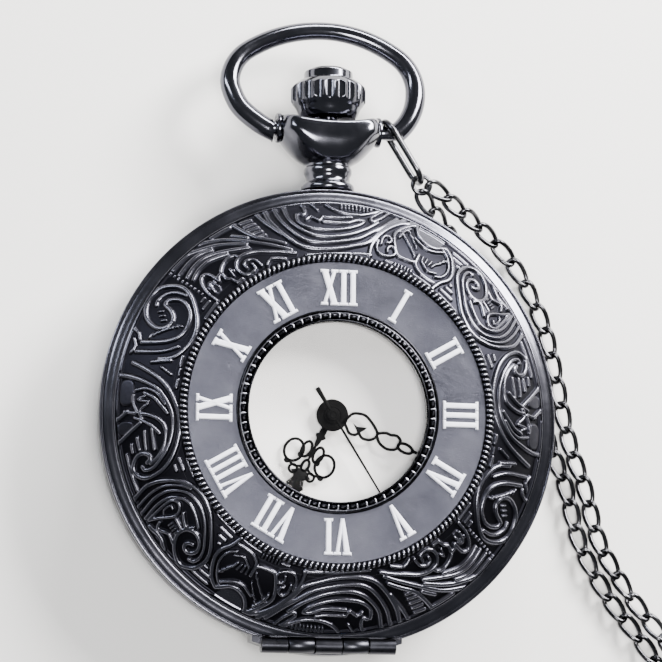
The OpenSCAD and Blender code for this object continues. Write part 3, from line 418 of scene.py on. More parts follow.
# Raised lines of one half: half width, then degrees clockwise from 12 o'clock
# and place from rim (0) to rope (1)
LINES = [
    (0.26, [-19, -.05, -18.7, .22, -16.7, .52, -13.5, .76, -9, .87, -4, .9, 1, .88, 5, .82, 10, .7, 13.3,
            .46, 16.5, .22, 19.8, .02]),
    (0.24, [-16.4, -.05, -15.8, .25, -13.5, .53, -10.2, .71, -5.6, .77, 0, .76, 6.7, .66, 11.3, .46, 14.6,
            .28, 17.8, .05]),
    (0.24, [-13.8, -.03, -13.5, .25, -11.5, .45, -8.3, .6, -4.3, .66, .5, .65, 4.8, .58, 9.3, .43, 12.6,
            .25]),
    (0.22, [-10.9, .18, -11.2, .32, -8.9, .45, -5.6, .51, -1, .53, 3.5, .48, 7.4, .37, 8.4, .28, 6.1, .3,
            3.5, .37, .2, .38, -3.7, .36]),
    (0.17, [-3, .27, 1.5, .28, 4.8, .25]),
    (0.18, [-8.6, .3, -7, .25, -5, .34, -3.7, .26]),
    (0.2, [-12.5, -.03, -9, -.02, -8.2, .12, -8.9, .2, -9.9, .17]),
    (0.16, [-6.3, -.02, -4.7, .12]),
    (0.2, [-2, .02, 0, .12, 3.5, .18, 7.4, .17, 10.7, .08, 13.3, -.03]),
    (0.18, [13.9, -.03, 12.3, .08, 10.4, .2, 11.2, .25, 13.6, .13, 15.4, -.02]),
    (0.24, [-12, .98, -6, 1, 0, .99, 4, .97]), (0.24, [5, .97, 11.5, .93]),
    # shell cartouche
    (0.24, [11, .95, 11.3, .76, 12.6, .58, 14.6, .4, 17.2, .22, 20.1, .08, 23.4, 0]),
    (0.17, [13.4, .6, 13.2, .76, 14.4, .85, 17, .86, 19.4, .8, 19.6, .7, 18.2, .64, 16.9, .69, 17, .77]),
    (0.17, [14.4, .66, 14.8, .52, 16, .46, 17.4, .5, 17.2, .58, 16.2, .6]),
    (0.22, [23.4, 0, 20, .2, 18.2, .36, 18.5, .52, 20.1, .72, 21.4, .77, 25.7, .76, 27, .72]),
    (0.16, [22.4, .14, 20.6, .26, 19.7, .4]),
    (0.22, [27.3, .56, 27.3, .75, 28.6, .83, 30.6, .88, 34.1, .89, 36, .88]),
    (0.24, [36.7, 1, 37.7, .81, 39.4, .65, 39.4, .5, 38, .34, 36.1, .2, 33.8, .12]),
    (0.16, [35.1, .77, 36.9, .7, 37.7, .58, 37.4, .45, 35.4, .28, 33.5, .2]),
    (0.24, [23.6, 0, 24.4, .13, 26, .23, 28.6, .28, 30.9, .25, 32.5, .17, 33.8, .12]),
    (0.16, [24.2, .28, 27.6, .37, 30.6, .35, 33.4, .24]),
    (0.14, [29, .66, 32, .76, 35, .7]),
    # volute at 1:30
    (0.24, [65.4, -.03, 66.7, .12, 67.7, .27, 67.5, .45, 66.2, .65, 64.2, .8, 61.1, .92, 57.2, .97, 53, .95,
            50, .9, 47.2, .8,
            43.3, .62, 41, .45, 40.5, .3, 41.6, .13, 44.6, .03, 47.8, .08, 50.4, .2, 51.6, .33, 51.3, .44,
            49.8, .51,
            47.8, .53, 45.6, .48, 44.4, .4, 44.4, .31, 45.6, .24, 47.2, .24, 48, .3, 47.4, .36, 46.5, .38]),
    (0.2, [61.2, -.03, 62.1, .09, 63.4, .26, 63.9, .41, 63.7, .54, 62.3, .69, 60.2, .79, 57.2, .84, 53.3,
           .84, 50.5, .79,
           47.8, .7, 44.9, .56, 43, .43, 42.3, .3, 42.9, .2, 44.2, .18]),
    (0.17, [63.4, 0, 65, .22, 65.7, .42, 65.2, .58, 63.3, .76, 61, .86]),
    (0.2, [59.9, .03, 61.4, .25, 61.9, .42, 61.5, .55, 59.7, .67, 57.2, .73, 53.9, .72, 51, .67, 49.2, .62]),
    (0.18, [59, .05, 58.2, .2, 56.8, .35, 56.2, .45, 56.8, .53, 58.2, .58, 59.8, .57, 60.8, .5, 60.6, .38,
            59.8, .2, 59, .05]),
    (0.13, [58.3, .46, 59.6, .46, 59.4, .34, 58.4, .3]),
    (0.22, [50.2, .56, 51.6, .47, 55.6, .56]), (0.2, [52.4, .4, 55.2, .42]),
         (0.2, [50.5, .16, 53, .2, 55.8, .1, 57, .18]),
    (0.24, [50.5, 0, 53.5, .06, 57.5, .02]),
    # hook at 3 o'clock
    (0.24, [102.8, .16, 102.2, .27, 100.9, .45, 98.6, .66, 95, .83, 90.4, .94, 85.9, .98, 81.3, .97, 76.7,
            .89, 72.8, .75,
            70.5, .58, 69.6, .38, 70.2, .22, 72.5, .13, 74.8, .17, 76.4, .25, 76.7, .35, 75.8, .42, 74.5,
            .43, 73.8, .37]),
    (0.22, [98.9, -.05, 98.9, .15, 97.9, .38, 96, .61, 92.7, .76, 88.5, .86, 83.9, .88, 79.4, .82, 75.8, .71,
            72.8, .53,
            71.7, .41, 72, .3, 73.1, .28]),
    (0.2, [87.8, .8, 90.4, .7, 93.1, .57, 94.4, .42]), (0.17, [91, .76, 94.4, .62, 95.7, .45, 95, .28]),
    (0.22, [73.2, .42, 74.5, .55, 77.4, .69, 81.3, .75, 84.6, .72, 86.9, .6, 88, .46, 88.2, .38]),
    (0.18, [81.6, .65, 84.3, .54, 86.2, .4, 87.2, .28]),
    (0.22, [85.6, .37, 83.9, .24, 81.3, .03, 80.3, -.06]), (0.22, [89.1, .17, 87.2, .02, 86.6, -.06]),
    (0.17, [86.9, .4, 88, .36, 89.5, .38, 91, .48]), (0.17, [88.4, .3, 89.1, .12]),
         (0.15, [91.7, .5, 92.4, .33, 93.3, .43]),
    (0.17, [88.6, .32, 91.7, .25, 93.6, .25]),
    (0.2, [77.1, .53, 83.3, .54]), (0.2, [77.7, .4, 82.9, .42]), (0.2, [78, .3, 81.3, .29]),
         (0.2, [77.7, .19, 79.7, .19]),
    (0.22, [96.6, .92, 99.4, .93]), (0.22, [104.3, .92, 107.6, .91]), (0.15, [100.9, .8, 102.8, .62]),
    (0.2, [105.4, .74, 103.8, .45]), (0.14, [101, .93, 103.2, .93]),
    # S-scroll at 4 o'clock
    (0.24, [105.2, .55, 106.2, .72, 108.3, .84, 112.2, .93, 116.1, .95, 120.7, .88, 124.6, .72, 127.2, .55,
            128.2, .38,
            127.5, .22, 125.5, .07, 122.9, 0, 119.7, 0, 116.4, .08, 114.5, .23, 114.1, .37, 115.4, .48,
            117.7, .52,
            119.7, .46, 120.7, .37, 121.3, .27, 122.9, .28, 124.4, .4, 124.6, .53, 123.3, .66, 120.7, .75,
            116.7, .78,
            113.5, .72, 111.2, .58, 109.9, .41, 108.9, .2]),
    (0.2, [110.5, .78, 108.3, .63, 107, .45, 106, .16]),
         (0.2, [126.7, .47, 126, .31, 124.2, .19, 121.6, .13, 120.2, .15]),
    (0.17, [105.5, .08, 107.5, .13, 109.4, .06]), (0.17, [109.6, .15, 111.2, .1, 112, 0]),
    # leaf and small spiral at 4:45
    (0.22, [131.1, .92, 131.3, .71, 132.7, .52, 134.4, .45, 136.2, .51, 136.8, .7, 137.7, .64, 139.2, .65,
            138.9, .76,
            140.2, .82, 140.9, .93, 143.2, .93]),
    (0.2, [139.4, .6, 140.9, .54, 143.5, .49, 146.1, .51, 146.8, .58]),
         (0.15, [133, .8, 134.3, .62, 135.4, .78]),
    (0.14, [141.6, .8, 142, .66, 142.8, .74]),
    (0.22, [149.1, .8, 149.2, .9, 146.7, .94, 144.5, .88, 143.9, .75, 145.1, .63, 148.1, .58, 152, .62,
            156.5, .73,
            160.4, .81, 164.5, .9]),
    (0.2, [151.6, .9, 150.7, .76, 148.7, .7, 146.8, .73, 146.8, .81]),
         (0.2, [153.4, .93, 156, .86, 160.4, .95]),
    (0.22, [132, .38, 135, .33, 138.9, .32, 142.2, .37, 144.8, .42]),
    (0.22, [131.4, .28, 135, .23, 138.9, .23, 142.8, .3, 146.7, .4, 151.3, .51]),
    (0.22, [130.8, .15, 135, .12, 138.9, .13, 142.2, .2]), (0.22, [131, .02, 136.3, 0]),
    (0.24, [137, 0, 144.1, .18, 151.3, .44]), (0.24, [140.5, -.03, 146.7, .16, 152.6, .42, 157.2, .6, 163.5,
                                                      .82]),
    (0.22, [149.4, .18, 152.8, .34]),
    (0.24, [151.3, -.03, 152.9, .2, 155.2, .4, 159, .55, 162.5, .68]),
         (0.24, [158.5, -.02, 160.1, .25, 162.4, .48]),
    (0.2, [144.6, .02, 150.4, .02]),
    # straight lines between the scrolls
    (0.2, [39.6, .99, 48.6, 1.0]), (0.2, [39.4, .89, 44.6, .89]), (0.2, [40.4, .785, 43, .785]),
         (0.15, [40.8, .69, 41.6, .69]),
    (0.2, [36.9, .19, 39.8, .19]), (0.2, [36.1, .09, 41, .095]), (0.2, [34, -.02, 49.1, -.02]),
         (0.15, [38.7, .28, 39.8, .28]),
    (0.2, [64.6, .99, 71, .99]), (0.2, [67.9, .88, 72.2, .87]), (0.2, [68.5, .77, 70.3, .77]),
    (0.2, [67.6, .09, 77.4, .09]), (0.2, [67, -.02, 79, -.02]), (0.2, [90, -.02, 97.6, -.02]),
         (0.2, [100.6, -.02, 112, -.02]),
    (0.2, [123.3, .96, 130.2, .95]), (0.2, [125.9, .84, 129.3, .84]), (0.16, [127.6, .74, 129.3, .74]),
    (0.15, [17, .95, 19.8, .95]), (0.14, [28, .97, 35.6, .98]),
]
# Short ribs in a row: half width, half length, number, first and last place,
# first and last direction in degrees
RIBS = [
    (0.13, 0.32, 9, 2.2, .02, 10.4, .02, 90, 90), (0.14, 0.2, 6, 20.8, .95, 27, .93, 90, 90),
    (0.13, 0.3, 5, 20.4, .3, 25.6, .6, 35, 60), (0.14, 0.34, 4, 28.8, .6, 33, .58, 88, 110),
    (0.14, 0.3, 3, 34, .5, 35.4, .36, 125, 140), (0.12, 0.22, 4, 22, .2, 25.4, .44, 35, 55),
    (0.13, 0.26, 7, 111.4, .3, 117.2, .66, 20, 80), (0.12, 0.24, 3, 116.8, .38, 119, .27, 60, 60),
    (0.2, 0.5, 6, 156.4, .4, 154.6, -.04, 4, 4), (0.1, 0.08, 9, 129.9, .66, 129.7, .02, 0, 0),
    (0.12, 0.2, 4, 52.2, .3, 55, .3, 90, 90), (0.11, 0.14, 5, 132.6, .68, 135.6, .66, 90, 90),
]
# Plain raised or sunk grounds: degrees, place, half size in each direction, height
PLAINS = [(84.6, .13, 1.9, .13, 0.55), (94.4, .14, 3.8, .12, 0.5), (54, .48, 1.6, .05, 0.45),
          (134.2, .72, 1.6, .14, 0.45)]
NOTCH = (28.7, 4.1, .235)          # smooth notch in the border's outer edge: middle, half width, depth


def border_relief(cols, rows):
    """Height from 0, in the ground, to 1, on the ridges, for one half of the border."""
    deg = np.arange(cols) * 180.0 / cols
    place = np.linspace(0, 1, rows)
    x, y = np.meshgrid(deg * ARC, place * SLANT)
    high = np.zeros_like(x)
    span = 180 * ARC
    wobble = 0.03 * np.sin(x * 2.1 + 1.7 * np.sin(y * 1.3)) + 0.02 * np.sin(y * 3.7 + x * 0.9)

    def raise_near(p, half, top):
        for shift in (-span, 0, span):
            q = p + (shift, 0)
            lo, hi = q.min(0) - half - 0.1, q.max(0) + half + 0.1
            c0, c1 = int(max(0, lo[0] / span * cols)), int(min(cols, hi[0] / span * cols + 2))
            r0, r1 = int(max(0, lo[1] / SLANT * rows)), int(min(rows, hi[1] / SLANT * rows + 2))
            if c1 <= c0 or r1 <= r0:
                continue
            gx, gy = x[r0:r1, c0:c1], y[r0:r1, c0:c1]
            best = np.full(gx.shape, 9.0)
            for a, b in zip(q[:-1], q[1:]):
                ab = b - a
                t = np.clip(((gx - a[0]) * ab[0] + (gy - a[1]) * ab[1]) / max(1e-9, ab @ ab), 0, 1)
                best = np.minimum(best, (gx - a[0] - t * ab[0]) ** 2 + (gy - a[1] - t * ab[1]) ** 2)
            d = np.sqrt(best) / (half * (1 + wobble[r0:r1, c0:c1]))
            ridge = top * np.sqrt(np.clip(1 - d ** 2.6, 0, 1))
            high[r0:r1, c0:c1] = np.maximum(high[r0:r1, c0:c1], ridge)

    for cx, cy, hx, hy, top in PLAINS:
        for shift in (-180, 0, 180):
            inside = (np.abs((deg - cx - shift) / hx) ** 3)[None] + (np.abs((place - cy) / hy) ** 3)[:, None]
            high = np.maximum(high, top * np.clip((1 - inside) * 3, 0, 1))
    for half, flat in LINES:
        pts = np.array(flat, float).reshape(-1, 2) * (ARC, SLANT)
        raise_near(smooth_line(pts, 0.35), half, 1.0)
    for half, length, count, d0, s0, d1, s1, a0, a1 in RIBS:
        for t in np.linspace(0, 1, count):
            c = np.array([(d0 + (d1 - d0) * t) * ARC, (s0 + (s1 - s0) * t) * SLANT])
            a = math.radians(a0 + (a1 - a0) * t)
            e = np.array([math.cos(a), math.sin(a)]) * length
            raise_near(np.array([c - e, c + e]), half, 0.85)
    mid, wide, deep = NOTCH
    u = np.abs(deg - mid) / wide
    edge = np.where(u < 1, deep * np.sqrt(np.clip(1 - u ** 2, 0, 1)), -1)[None]
    inside = np.clip((edge - place[:, None]) / 0.035, 0, 1)
    high = high * (1 - inside) + 0.42 * inside
    return high, inside


HALF_COLS, ROWS, DEPTH = 920, 98, 0.3
height, notch = border_relief(HALF_COLS, ROWS)
height, notch = np.tile(height, (1, 2)), np.tile(notch, (1, 2))
theta = np.arange(2 * HALF_COLS) * math.pi / HALF_COLS
place = np.linspace(0, 1, ROWS)
R = (RIM_IN + (ROPE_OUT - RIM_IN) * place)[:, None] + 0 * theta
Z = (BORDER_Z + DOME_RISE * place + DOME_BULGE * np.sin(math.pi * place))[:, None] + 0 * theta
edge = np.clip(np.minimum(place, 1 - place) / 0.03, 0, 1)[:, None]
drop = DEPTH * (1 - height) * (0.25 + 0.75 * edge) + 0.12 * notch
slope = math.atan2(DOME_RISE, RIM_IN - ROPE_OUT)
R, Z = R - drop * math.sin(slope), Z - drop * math.cos(slope)
R, Z = np.vstack([R, R[-1] * 0 + ROPE_OUT, R[0] * 0 + RIM_IN]), np.vstack([Z, Z[-1] * 0 + 12.5,
                                                            Z[0] * 0 + 8.95])
verts = np.stack([R * np.sin(theta), R * np.cos(theta), Z], -1).reshape(-1, 3)
relief = np.vstack([height * (1 - notch) + 0.8 * notch, np.zeros((2, 2 * HALF_COLS))])
border = make("engraved_border", verts, grid_faces(ROWS + 2, 2 * HALF_COLS, wrap_rows=True), ENGRAVED,
              "front_cover",
              "cover_metal", crease=180, relief=relief, merge=False)
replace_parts(border, "cover_border")

# -------------------------------------------------- rim, rope ring, window bezel and numerals
def clear_of_hinge(p):
    """Keeps the rim's outer edge off the hinge knuckles at 6 o'clock."""
    x, y, z = p
    if abs(x) < 7.2 and y < -22.55:
        y = -22.55 + 0.02 * (y + 22.55)
    return x, y, z


rim = lathe("cover_rim_ring", [
    (22.3, 8.52), (23.72, 8.52), (23.86, 8.6), (23.9, 8.74), (23.86, 8.86), (23.76, 8.91), (23.66, 8.87),
                               (23.62, 8.78),
    (23.54, 8.78), (23.49, 8.9), (23.38, 8.98), (23.1, 9.04), (22.8, 9.13), (22.66, 9.2), (22.58, 9.21),
                               (22.55, 9.16),
    (22.51, 9.16), (22.47, 9.3), (22.4, 9.42), (22.33, 9.45), (22.28, 9.4)], RIM, "front_cover",
            "cover_metal", n=360, place=clear_of_hinge, crease=55)
knuckles = []
for k in (1, 3):
    x0 = -7 + 2.8 * k + 0.05
    ends = [(x0, 0.68), (x0 + 0.1, 0.79), (x0 + 2.6, 0.79), (x0 + 2.7, 0.68)]
    va = [(x, -23.5 + r * math.cos(a), 8.45 + r * math.sin(a))
          for x, r in [(x0, 0.4), *ends, (x0 + 2.7, 0.4)]
          for a in np.linspace(0, 2 * math.pi, 32, endpoint=False)]
    knuckles.append((va, grid_faces(6, 32, wrap_rows=True)))
v, f = join(knuckles)
# the knuckles take the darker gunmetal as painted shade, so they stay dim under the rim
make("cover_knuckles", v, f, DARK_SHADE_SHELL, "front_cover", "cover_metal", crease=50)
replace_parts(rim, "cover_rim")

n_rope, cols = 184, 184 * 10
ang = np.linspace(0, 2 * math.pi, cols, endpoint=False)
sect = np.linspace(0, math.pi, 13)
wave = np.cos(ang[None] * n_rope + 1.3 * np.cos(sect)[:, None])
body = np.clip(0.5 + 0.85 * wave, 0, 1)
wide = np.sin(sect)[:, None]
R = 15.85 - (0.4 + 0.04 * wave) * np.cos(sect)[:, None]
Z = 12.98 + wide * (0.24 + 0.2 * body)
R, Z = np.vstack([R, R[-1] * 0 + 16.29, R[0] * 0 + 15.41]), np.vstack([Z, Z[-1] * 0 + 12.52,
                                                            Z[0] * 0 + 12.52])
verts = np.stack([R * np.sin(ang), R * np.cos(ang), Z], -1).reshape(-1, 3)
relief = np.vstack([body * (0.25 + 0.75 * wide), np.zeros((2, cols))])
rope = make("rope_edge", verts, grid_faces(15, cols, wrap_rows=True), ROPE, "front_cover", "cover_metal",
            crease=180, relief=relief, merge=False)
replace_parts(rope, "rope_ring")

n_bead, cols = 62, 62 * 18
ang = np.linspace(0, 2 * math.pi, cols, endpoint=False)
radial = [9.25, 9.27, 9.36, 9.42, 9.46, 9.5, 9.56, 9.66, 9.78, 9.9, 10.0, 10.08, 10.12, 10.16, 10.2, 10.26,
          10.34, 10.44, 10.5]
level = [13.0, 13.42, 13.46, 13.42, 13.2, 13.2, 13.24, 13.28, 13.28, 13.28, 13.28, 13.24, 13.2, 13.2, 13.42,
         13.5, 13.52, 13.46, 13.1]
cell = np.abs(((ang * n_bead / (2 * math.pi)) % 1) - 0.5) * 2
wall = np.clip((cell - 0.76) / 0.12, 0, 1)
bead = np.clip((0.74 - cell) / 0.34, 0, 1) ** 0.5
R, Z, relief_and_glint = [], [], []
for r, z in zip(radial, level):
    on = 1.0 if 9.5 < r < 10.12 else 0.0
    dome = max(0.0, 1 - ((r - 9.78) / 0.3) ** 2)
    R.append(r + 0 * ang)
    Z.append(z + on * np.maximum(0.16 * wall, 0.2 * bead * dome))
    # painted highlight: a small bright spot in the middle of each bead's dome, stored with the relief values
    # so the ring's colour turns light there
    painted_glint = np.clip((0.3 - cell) / 0.15, 0, 1) * (1.0 if 9.7 < r < 9.95 else 0.0)
    edge = 0.25 if 10.28 < r < 10.46 else 0.75 if 10.05 < r < 10.18 else 0.5 if 9.3 < r < 9.4 else 0.0
    relief_and_glint.append(on * np.maximum(0.7 * wall, 0.5 * painted_glint) + edge)
for r, z in ((10.5, 12.52), (9.27, 12.52)):
    R.append(r + 0 * ang)
    Z.append(z + 0 * ang)
    relief_and_glint.append(0 * ang)
R, Z = np.array(R), np.array(Z)
verts = np.stack([R * np.sin(ang), R * np.cos(ang), Z], -1).reshape(-1, 3)
beads = make("beaded_bezel", verts, grid_faces(len(R), cols, wrap_rows=True), BEADED, "front_cover",
             "cover_metal",
             crease=180, relief=np.array(relief_and_glint), merge=False)
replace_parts(beads, "window_bezel")


def inset(poly, d):
    """Convex outline, anticlockwise, moved inwards by d."""
    p = np.asarray(poly, float)
    out = []
    for i in range(len(p)):
        a, b, c = p[i - 1], p[i], p[(i + 1) % len(p)]
        e, g = (b - a) / np.linalg.norm(b - a), (c - b) / np.linalg.norm(c - b)
        n1, n2 = np.array([-e[1], e[0]]), np.array([-g[1], g[0]])
        out.append(b + d * (n1 + n2) / max(0.3, 1 + n1 @ n2))
    return np.array(out)


def plate_piece(poly, z0, z1, bevel):
    """A raised convex shape with a bevelled top."""
    p = np.asarray(poly, float)
    if np.sum(p[:, 0] * np.roll(p[:, 1], -1) - p[:, 1] * np.roll(p[:, 0], -1)) < 0:
        p = p[::-1]
    n, verts = len(p), []
    for ring, z in ((p, z0), (p, z1 - bevel), (inset(p, bevel * 0.7), z1 - bevel * 0.2),
                    (inset(p, bevel * 1.3), z1)):
        verts += [(x, y, z) for x, y in ring]
    return verts, grid_faces(4, n) + [tuple(range(3 * n, 4 * n)), tuple(range(n))[::-1]]


def bar(x0, y0, x1, y1, w0, w1=None):
    """A straight stroke from one point to another."""
    w1 = w0 if w1 is None else w1
    d = np.array([x1 - x0, y1 - y0], float)
    d /= np.linalg.norm(d)
    n = np.array([-d[1], d[0]])
    a, b = np.array([x0, y0]), np.array([x1, y1])
    return [a - n * w0 / 2, b - n * w1 / 2, b + n * w1 / 2, a + n * w0 / 2]


def serif(x, y, half, way):
    """A slab serif with a slight bracket towards the stroke."""
    return [(x - half, y), (x + half, y), (x + half * 0.92, y + way * 0.3), (x - half * 0.92, y + way * 0.3)]


H = 3.7
GLYPHS = {
    "I": (0.98, [bar(0.49, 0.1, 0.49, H - 0.1, 0.52), serif(0.49, 0, 0.47, 1), serif(0.49, H, 0.47, -1)]),
    "V": (1.86, [bar(0.92, 0, 0.42, H - 0.1, 0.36, 0.6), bar(0.94, 0, 1.45, H - 0.1, 0.3, 0.36),
                serif(0.42, H, 0.46, -1), serif(1.45, H, 0.38, -1)]),
    "X": (1.9, [bar(1.46, 0.1, 0.4, H - 0.1, 0.6), bar(0.4, 0.1, 1.46, H - 0.1, 0.34),
                 serif(0.4, 0, 0.38, 1), serif(1.46, 0, 0.44, 1), serif(0.4, H, 0.44, -1),
                serif(1.46, H, 0.38, -1)]),
}
HOURS = ["I", "II", "III", "IV", "V", "VI", "VII", "VIII", "IX", "X", "XI", "XII"]
parts = []
for h, word in enumerate(HOURS):
    total = sum(GLYPHS[c][0] for c in word)
    squeeze = min(1.0, 4.3 / total)
    a = math.radians(30 * (h + 1))
    x = -total / 2
    for c in word:
        wide, strokes = GLYPHS[c]
        for s in strokes:
            q = []
            for px, py in s:
                u, w = (px + x) * squeeze, py * 1.0 + 10.9
                q.append((u * math.cos(a) + w * math.sin(a), -u * math.sin(a) + w * math.cos(a)))
            parts.append(plate_piece(q, 12.99, 13.24, 0.12))
        x += wide
v, f = join(parts)
numerals = make("raised_numerals", v, f, WHITE, "front_cover", "numeral_white", crease=30, merge=False)
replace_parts(numerals, "cover_numerals")

# -------------------------------------------------- hands
def at_hour(deg, z):
    """Turns (along, lateral) points of a hand that points deg clockwise from 12 o'clock."""
    a = math.radians(deg)
    return lambda u, w: (u * math.sin(a) - w * math.cos(a), u * math.cos(a) + w * math.sin(a), z)


def strip(points, half, where, thick=0.15, closed=False):
    """A flat stroke with rounded top edges."""
    p = np.asarray(points, float)
    half = np.broadcast_to(np.asarray(half, float), (len(p),))
    d = np.roll(p, -1, 0) - np.roll(p, 1, 0) if closed else np.gradient(p, axis=0)
    d /= np.linalg.norm(d, axis=1)[:, None]
    n = np.stack([-d[:, 1], d[:, 0]], 1)
    verts = []
    for q, m, h in zip(p, n, half):
        for w, up in ((-h, 0), (-h, thick * 0.6), (-h * 0.6, thick), (h * 0.6, thick), (h, thick * 0.6),
                      (h, 0)):
            x, y, z = where(*(q + m * w))
            verts.append((x, y, z + up))
    faces = grid_faces(len(p), 6, wrap_rows=closed)
    if not closed:
        faces += [tuple(range(6))[::-1], tuple((len(p) - 1) * 6 + k for k in range(6))]
    return verts, faces


def flat_shape(points, where, thick=0.15):
    """A flat outline, filled, with a slightly smaller top face."""
    p = np.asarray(points, float)
    mid = p.mean(0)
    verts = []
    for k, up in ((1.0, 0), (1.0, thick * 0.6), (0.93, thick)):
        for q in mid + (p - mid) * k:
            x, y, z = where(*q)
            verts.append((x, y, z + up))
    n = len(p)
    return verts, grid_faces(3, n) + [tuple(range(2 * n, 3 * n)), tuple(range(n))[::-1]]


def ring_points(u, w, ru, rw, n=36):
    t = np.linspace(0, 2 * math.pi, n, endpoint=False)
    return np.stack([u + ru * np.cos(t), w + rw * np.sin(t)], 1)


def disc(r0, r1, z, thick, rings=()):
    """A flat disc with faint raised rings, round the dial's axis."""
    rows = [(r0, z), (r1 - 0.02, z), (r1, z + 0.03), (r1, z + thick - 0.04), (r1 - 0.05, z + thick)]
    for r in rings:
        rows += [(r + 0.07, z + thick), (r + 0.03, z + thick + 0.035), (r - 0.03, z + thick + 0.035),
                 (r - 0.07, z + thick)]
    rows.append((r0, z + thick))
    ang = np.linspace(0, 2 * math.pi, 96, endpoint=False)
    verts = [(r * math.sin(a), r * math.cos(a), h) for r, h in rows for a in ang]
    return verts, grid_faces(len(rows), 96, wrap_rows=True)


HAND_T = 0.15
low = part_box("hour_hand")[0].z / MM
where = at_hour(207.5, low)
parts = [disc(0.95, 1.5, low, HAND_T)]
for s in (-1, 1):
    parts.append(strip(ring_points(5.0, 1.8 * s, 1.18, 0.98), 0.145, where, closed=True))
    parts.append(strip(ring_points(4.3, 0.68 * s, 0.85, 0.48), 0.145, where, closed=True))
    parts.append(strip(ring_points(6.75, 1.0 * s, 0.42, 0.42, 20), 0.13, where, closed=True))
    parts.append(flat_shape(ring_points(6.3, 1.95 * s, 0.3, 0.34, 14), where))
    parts.append(flat_shape(ring_points(5.1, 1.05 * s, 0.3, 0.22, 14), where))
    parts.append(strip(smooth_line([(6.1, 0.3 * s), (6.4, 0.95 * s), (6.35, 1.5 * s), (6.15, 1.9 * s)],
                                   0.15), 0.13, where))
parts.append(strip(ring_points(5.9, 0, 0.62, 0.36, 28), 0.145, where, closed=True))
spine = [(0, 0.34), (1.4, 0.34), (1.95, 0.36), (2.2, 0.34), (2.4, 0.58), (2.6, 0.5), (2.8, 0.3), (3.3, 0.24),
         (3.6, 0.16)]
edge = [(u, w) for u, w in spine if u > 0.9] + [(u, -w) for u, w in spine[::-1] if u > 0.9]
parts.append(flat_shape(edge, where))
parts.append(strip([(3.5, 0), (4.5, 0), (5.3, 0)], 0.13, where))
spade = [(6.3, 0.34), (6.7, 0.8), (6.92, 1.15), (7.12, 0.78), (7.4, 0.62), (7.8, 0.74), (8.25, 0.98),
         (8.6, 0.72), (9.2, 0.26), (9.98, 0.02)]
parts.append(flat_shape(spade + [(u, -w) for u, w in spade[::-1]], where))
v, f = join(parts)
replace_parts(make("scroll_hour_hand", v, f, HANDS, "hours", "hand_black", merge=False), "hour_hand")

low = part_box("minute_hand")[0].z / MM
minute_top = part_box("minute_hand")[1].z / MM
where = at_hour(112.4, low)
parts = [disc(0.0, 1.66, low, HAND_T, (0.9,))] if minute_top - low < 0.2 else [disc(0.0, 1.66, low,
                                                            minute_top - low, (0.9,))]
parts.append(strip(smooth_line([(1.2, -.4), (1.45, .1), (1.8, .9), (2.3, 1.24), (3.19, 1.39), (4.18, .92),
                                (4.97, .28), (5.0, -.27),
                                (4.49, -.79), (3.73, -.9), (3.21, -.52)], 0.12), 0.145, where))
parts.append(strip(smooth_line([(1.45, -.2), (1.7, -.42), (2.32, -.97), (2.94, -.9), (3.21, -.52)], 0.12),
                   0.145, where))
parts.append(flat_shape([(2.3, .14), (2.8, -.04), (3.82, .3), (3.66, -.06), (3.16, -.68), (2.85, -.36)],
                        where))
parts.append(strip(smooth_line([(5, .16), (5.45, .42), (5.91, .62), (6.4, .62), (6.97, .79), (7.45, .6),
                                (7.56, .31), (7.42, -.51), (6.53, -.88),
                                (5.63, -.64), (5.1, -.1)], 0.12), 0.145, where))
parts.append(strip(ring_points(8.3, -0.05, 0.82, 0.44, 30), 0.145, where, closed=True))
parts.append(flat_shape([(8.95, -0.26), (9.4, -0.16), (12.55, -0.03), (12.55, 0.0), (9.4, 0.14),
                         (8.95, 0.2)], where))
v, f = join(parts)
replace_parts(make("scroll_minute_hand", v, f, HANDS, "minutes", "hand_black", merge=False), "minute_hand")

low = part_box("second_hand")[1].z / MM - 0.15
where = at_hour(148, low)
blade = [(-3.23, 0.24), (-3.0, 0.25), (-1.7, 0.2), (-0.4, 0.11), (0, 0.1), (1.6, 0.12), (6, 0.11),
         (12.7, 0.055)]
parts = [strip([(u, 0) for u, _ in blade], [w for _, w in blade], where, 0.13),
         disc(0.0, 0.62, low, 0.19, (0.34,))]
v, f = join(parts)
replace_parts(make("fine_second_hand", v, f, HANDS, "seconds", "hand_black", merge=False), "second_hand")

# -------------------------------------------------- crown: fluted band with pointed ends, stepped cap
FLUTES, PER_FLUTE = 22, 16
n = FLUTES * PER_FLUTE
ang = np.linspace(0, 2 * math.pi, n, endpoint=False)
# 1 on the ridge, 0 in the flute's middle
saw = np.abs(((ang * FLUTES / (2 * math.pi)) % 1) - 0.5) * 2
scallop = 3.97 - 0.25 * (1 - saw ** 2)
profile = [(0.62, 21.95), (1.0, 21.95), (1.0, 31.86), (2.7, 31.88), (2.9, 31.96), (3.08, 32.2), (3.25, 32.6)]
profile += [(3.4 + 0.55 * t, 33.0 + 0.75 * t) for t in np.linspace(0, 1, 14)] + [(3.95, 34.5)]
profile += [(3.95 - 0.75 * t ** 1.2, 35.15 + 0.72 * t) for t in np.linspace(0, 1, 14)]
profile += [(3.0, 35.97), (2.75, 36.02), (2.66, 36.08), (2.6, 36.2), (2.56, 36.85), (2.5, 36.97),
            (2.4, 37.02), (2.28, 37.04), (2.2, 37.1),
            (2.1, 37.2), (1.8, 37.34), (1.2, 37.45), (0.5, 37.5), (0.0, 37.5), (0.0, 31.9), (0.6, 31.9)]
verts = []
for r, y in profile:
    rr = np.minimum(r, scallop) if 32.9 < y < 35.9 and r > 3 else r + 0 * ang
    for a, q in zip(ang, rr):
        verts.append((q * math.sin(a), y, AXIS_Z + q * math.cos(a)))
crown = make("fluted_crown", verts, grid_faces(len(profile), n, wrap_rows=True), GUN, "crown", "case_metal",
             crease=26)
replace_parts(crown, "crown")

# -------------------------------------------------- bow: oval wire from ear to ear, leaning back
LEAN = math.radians(10)


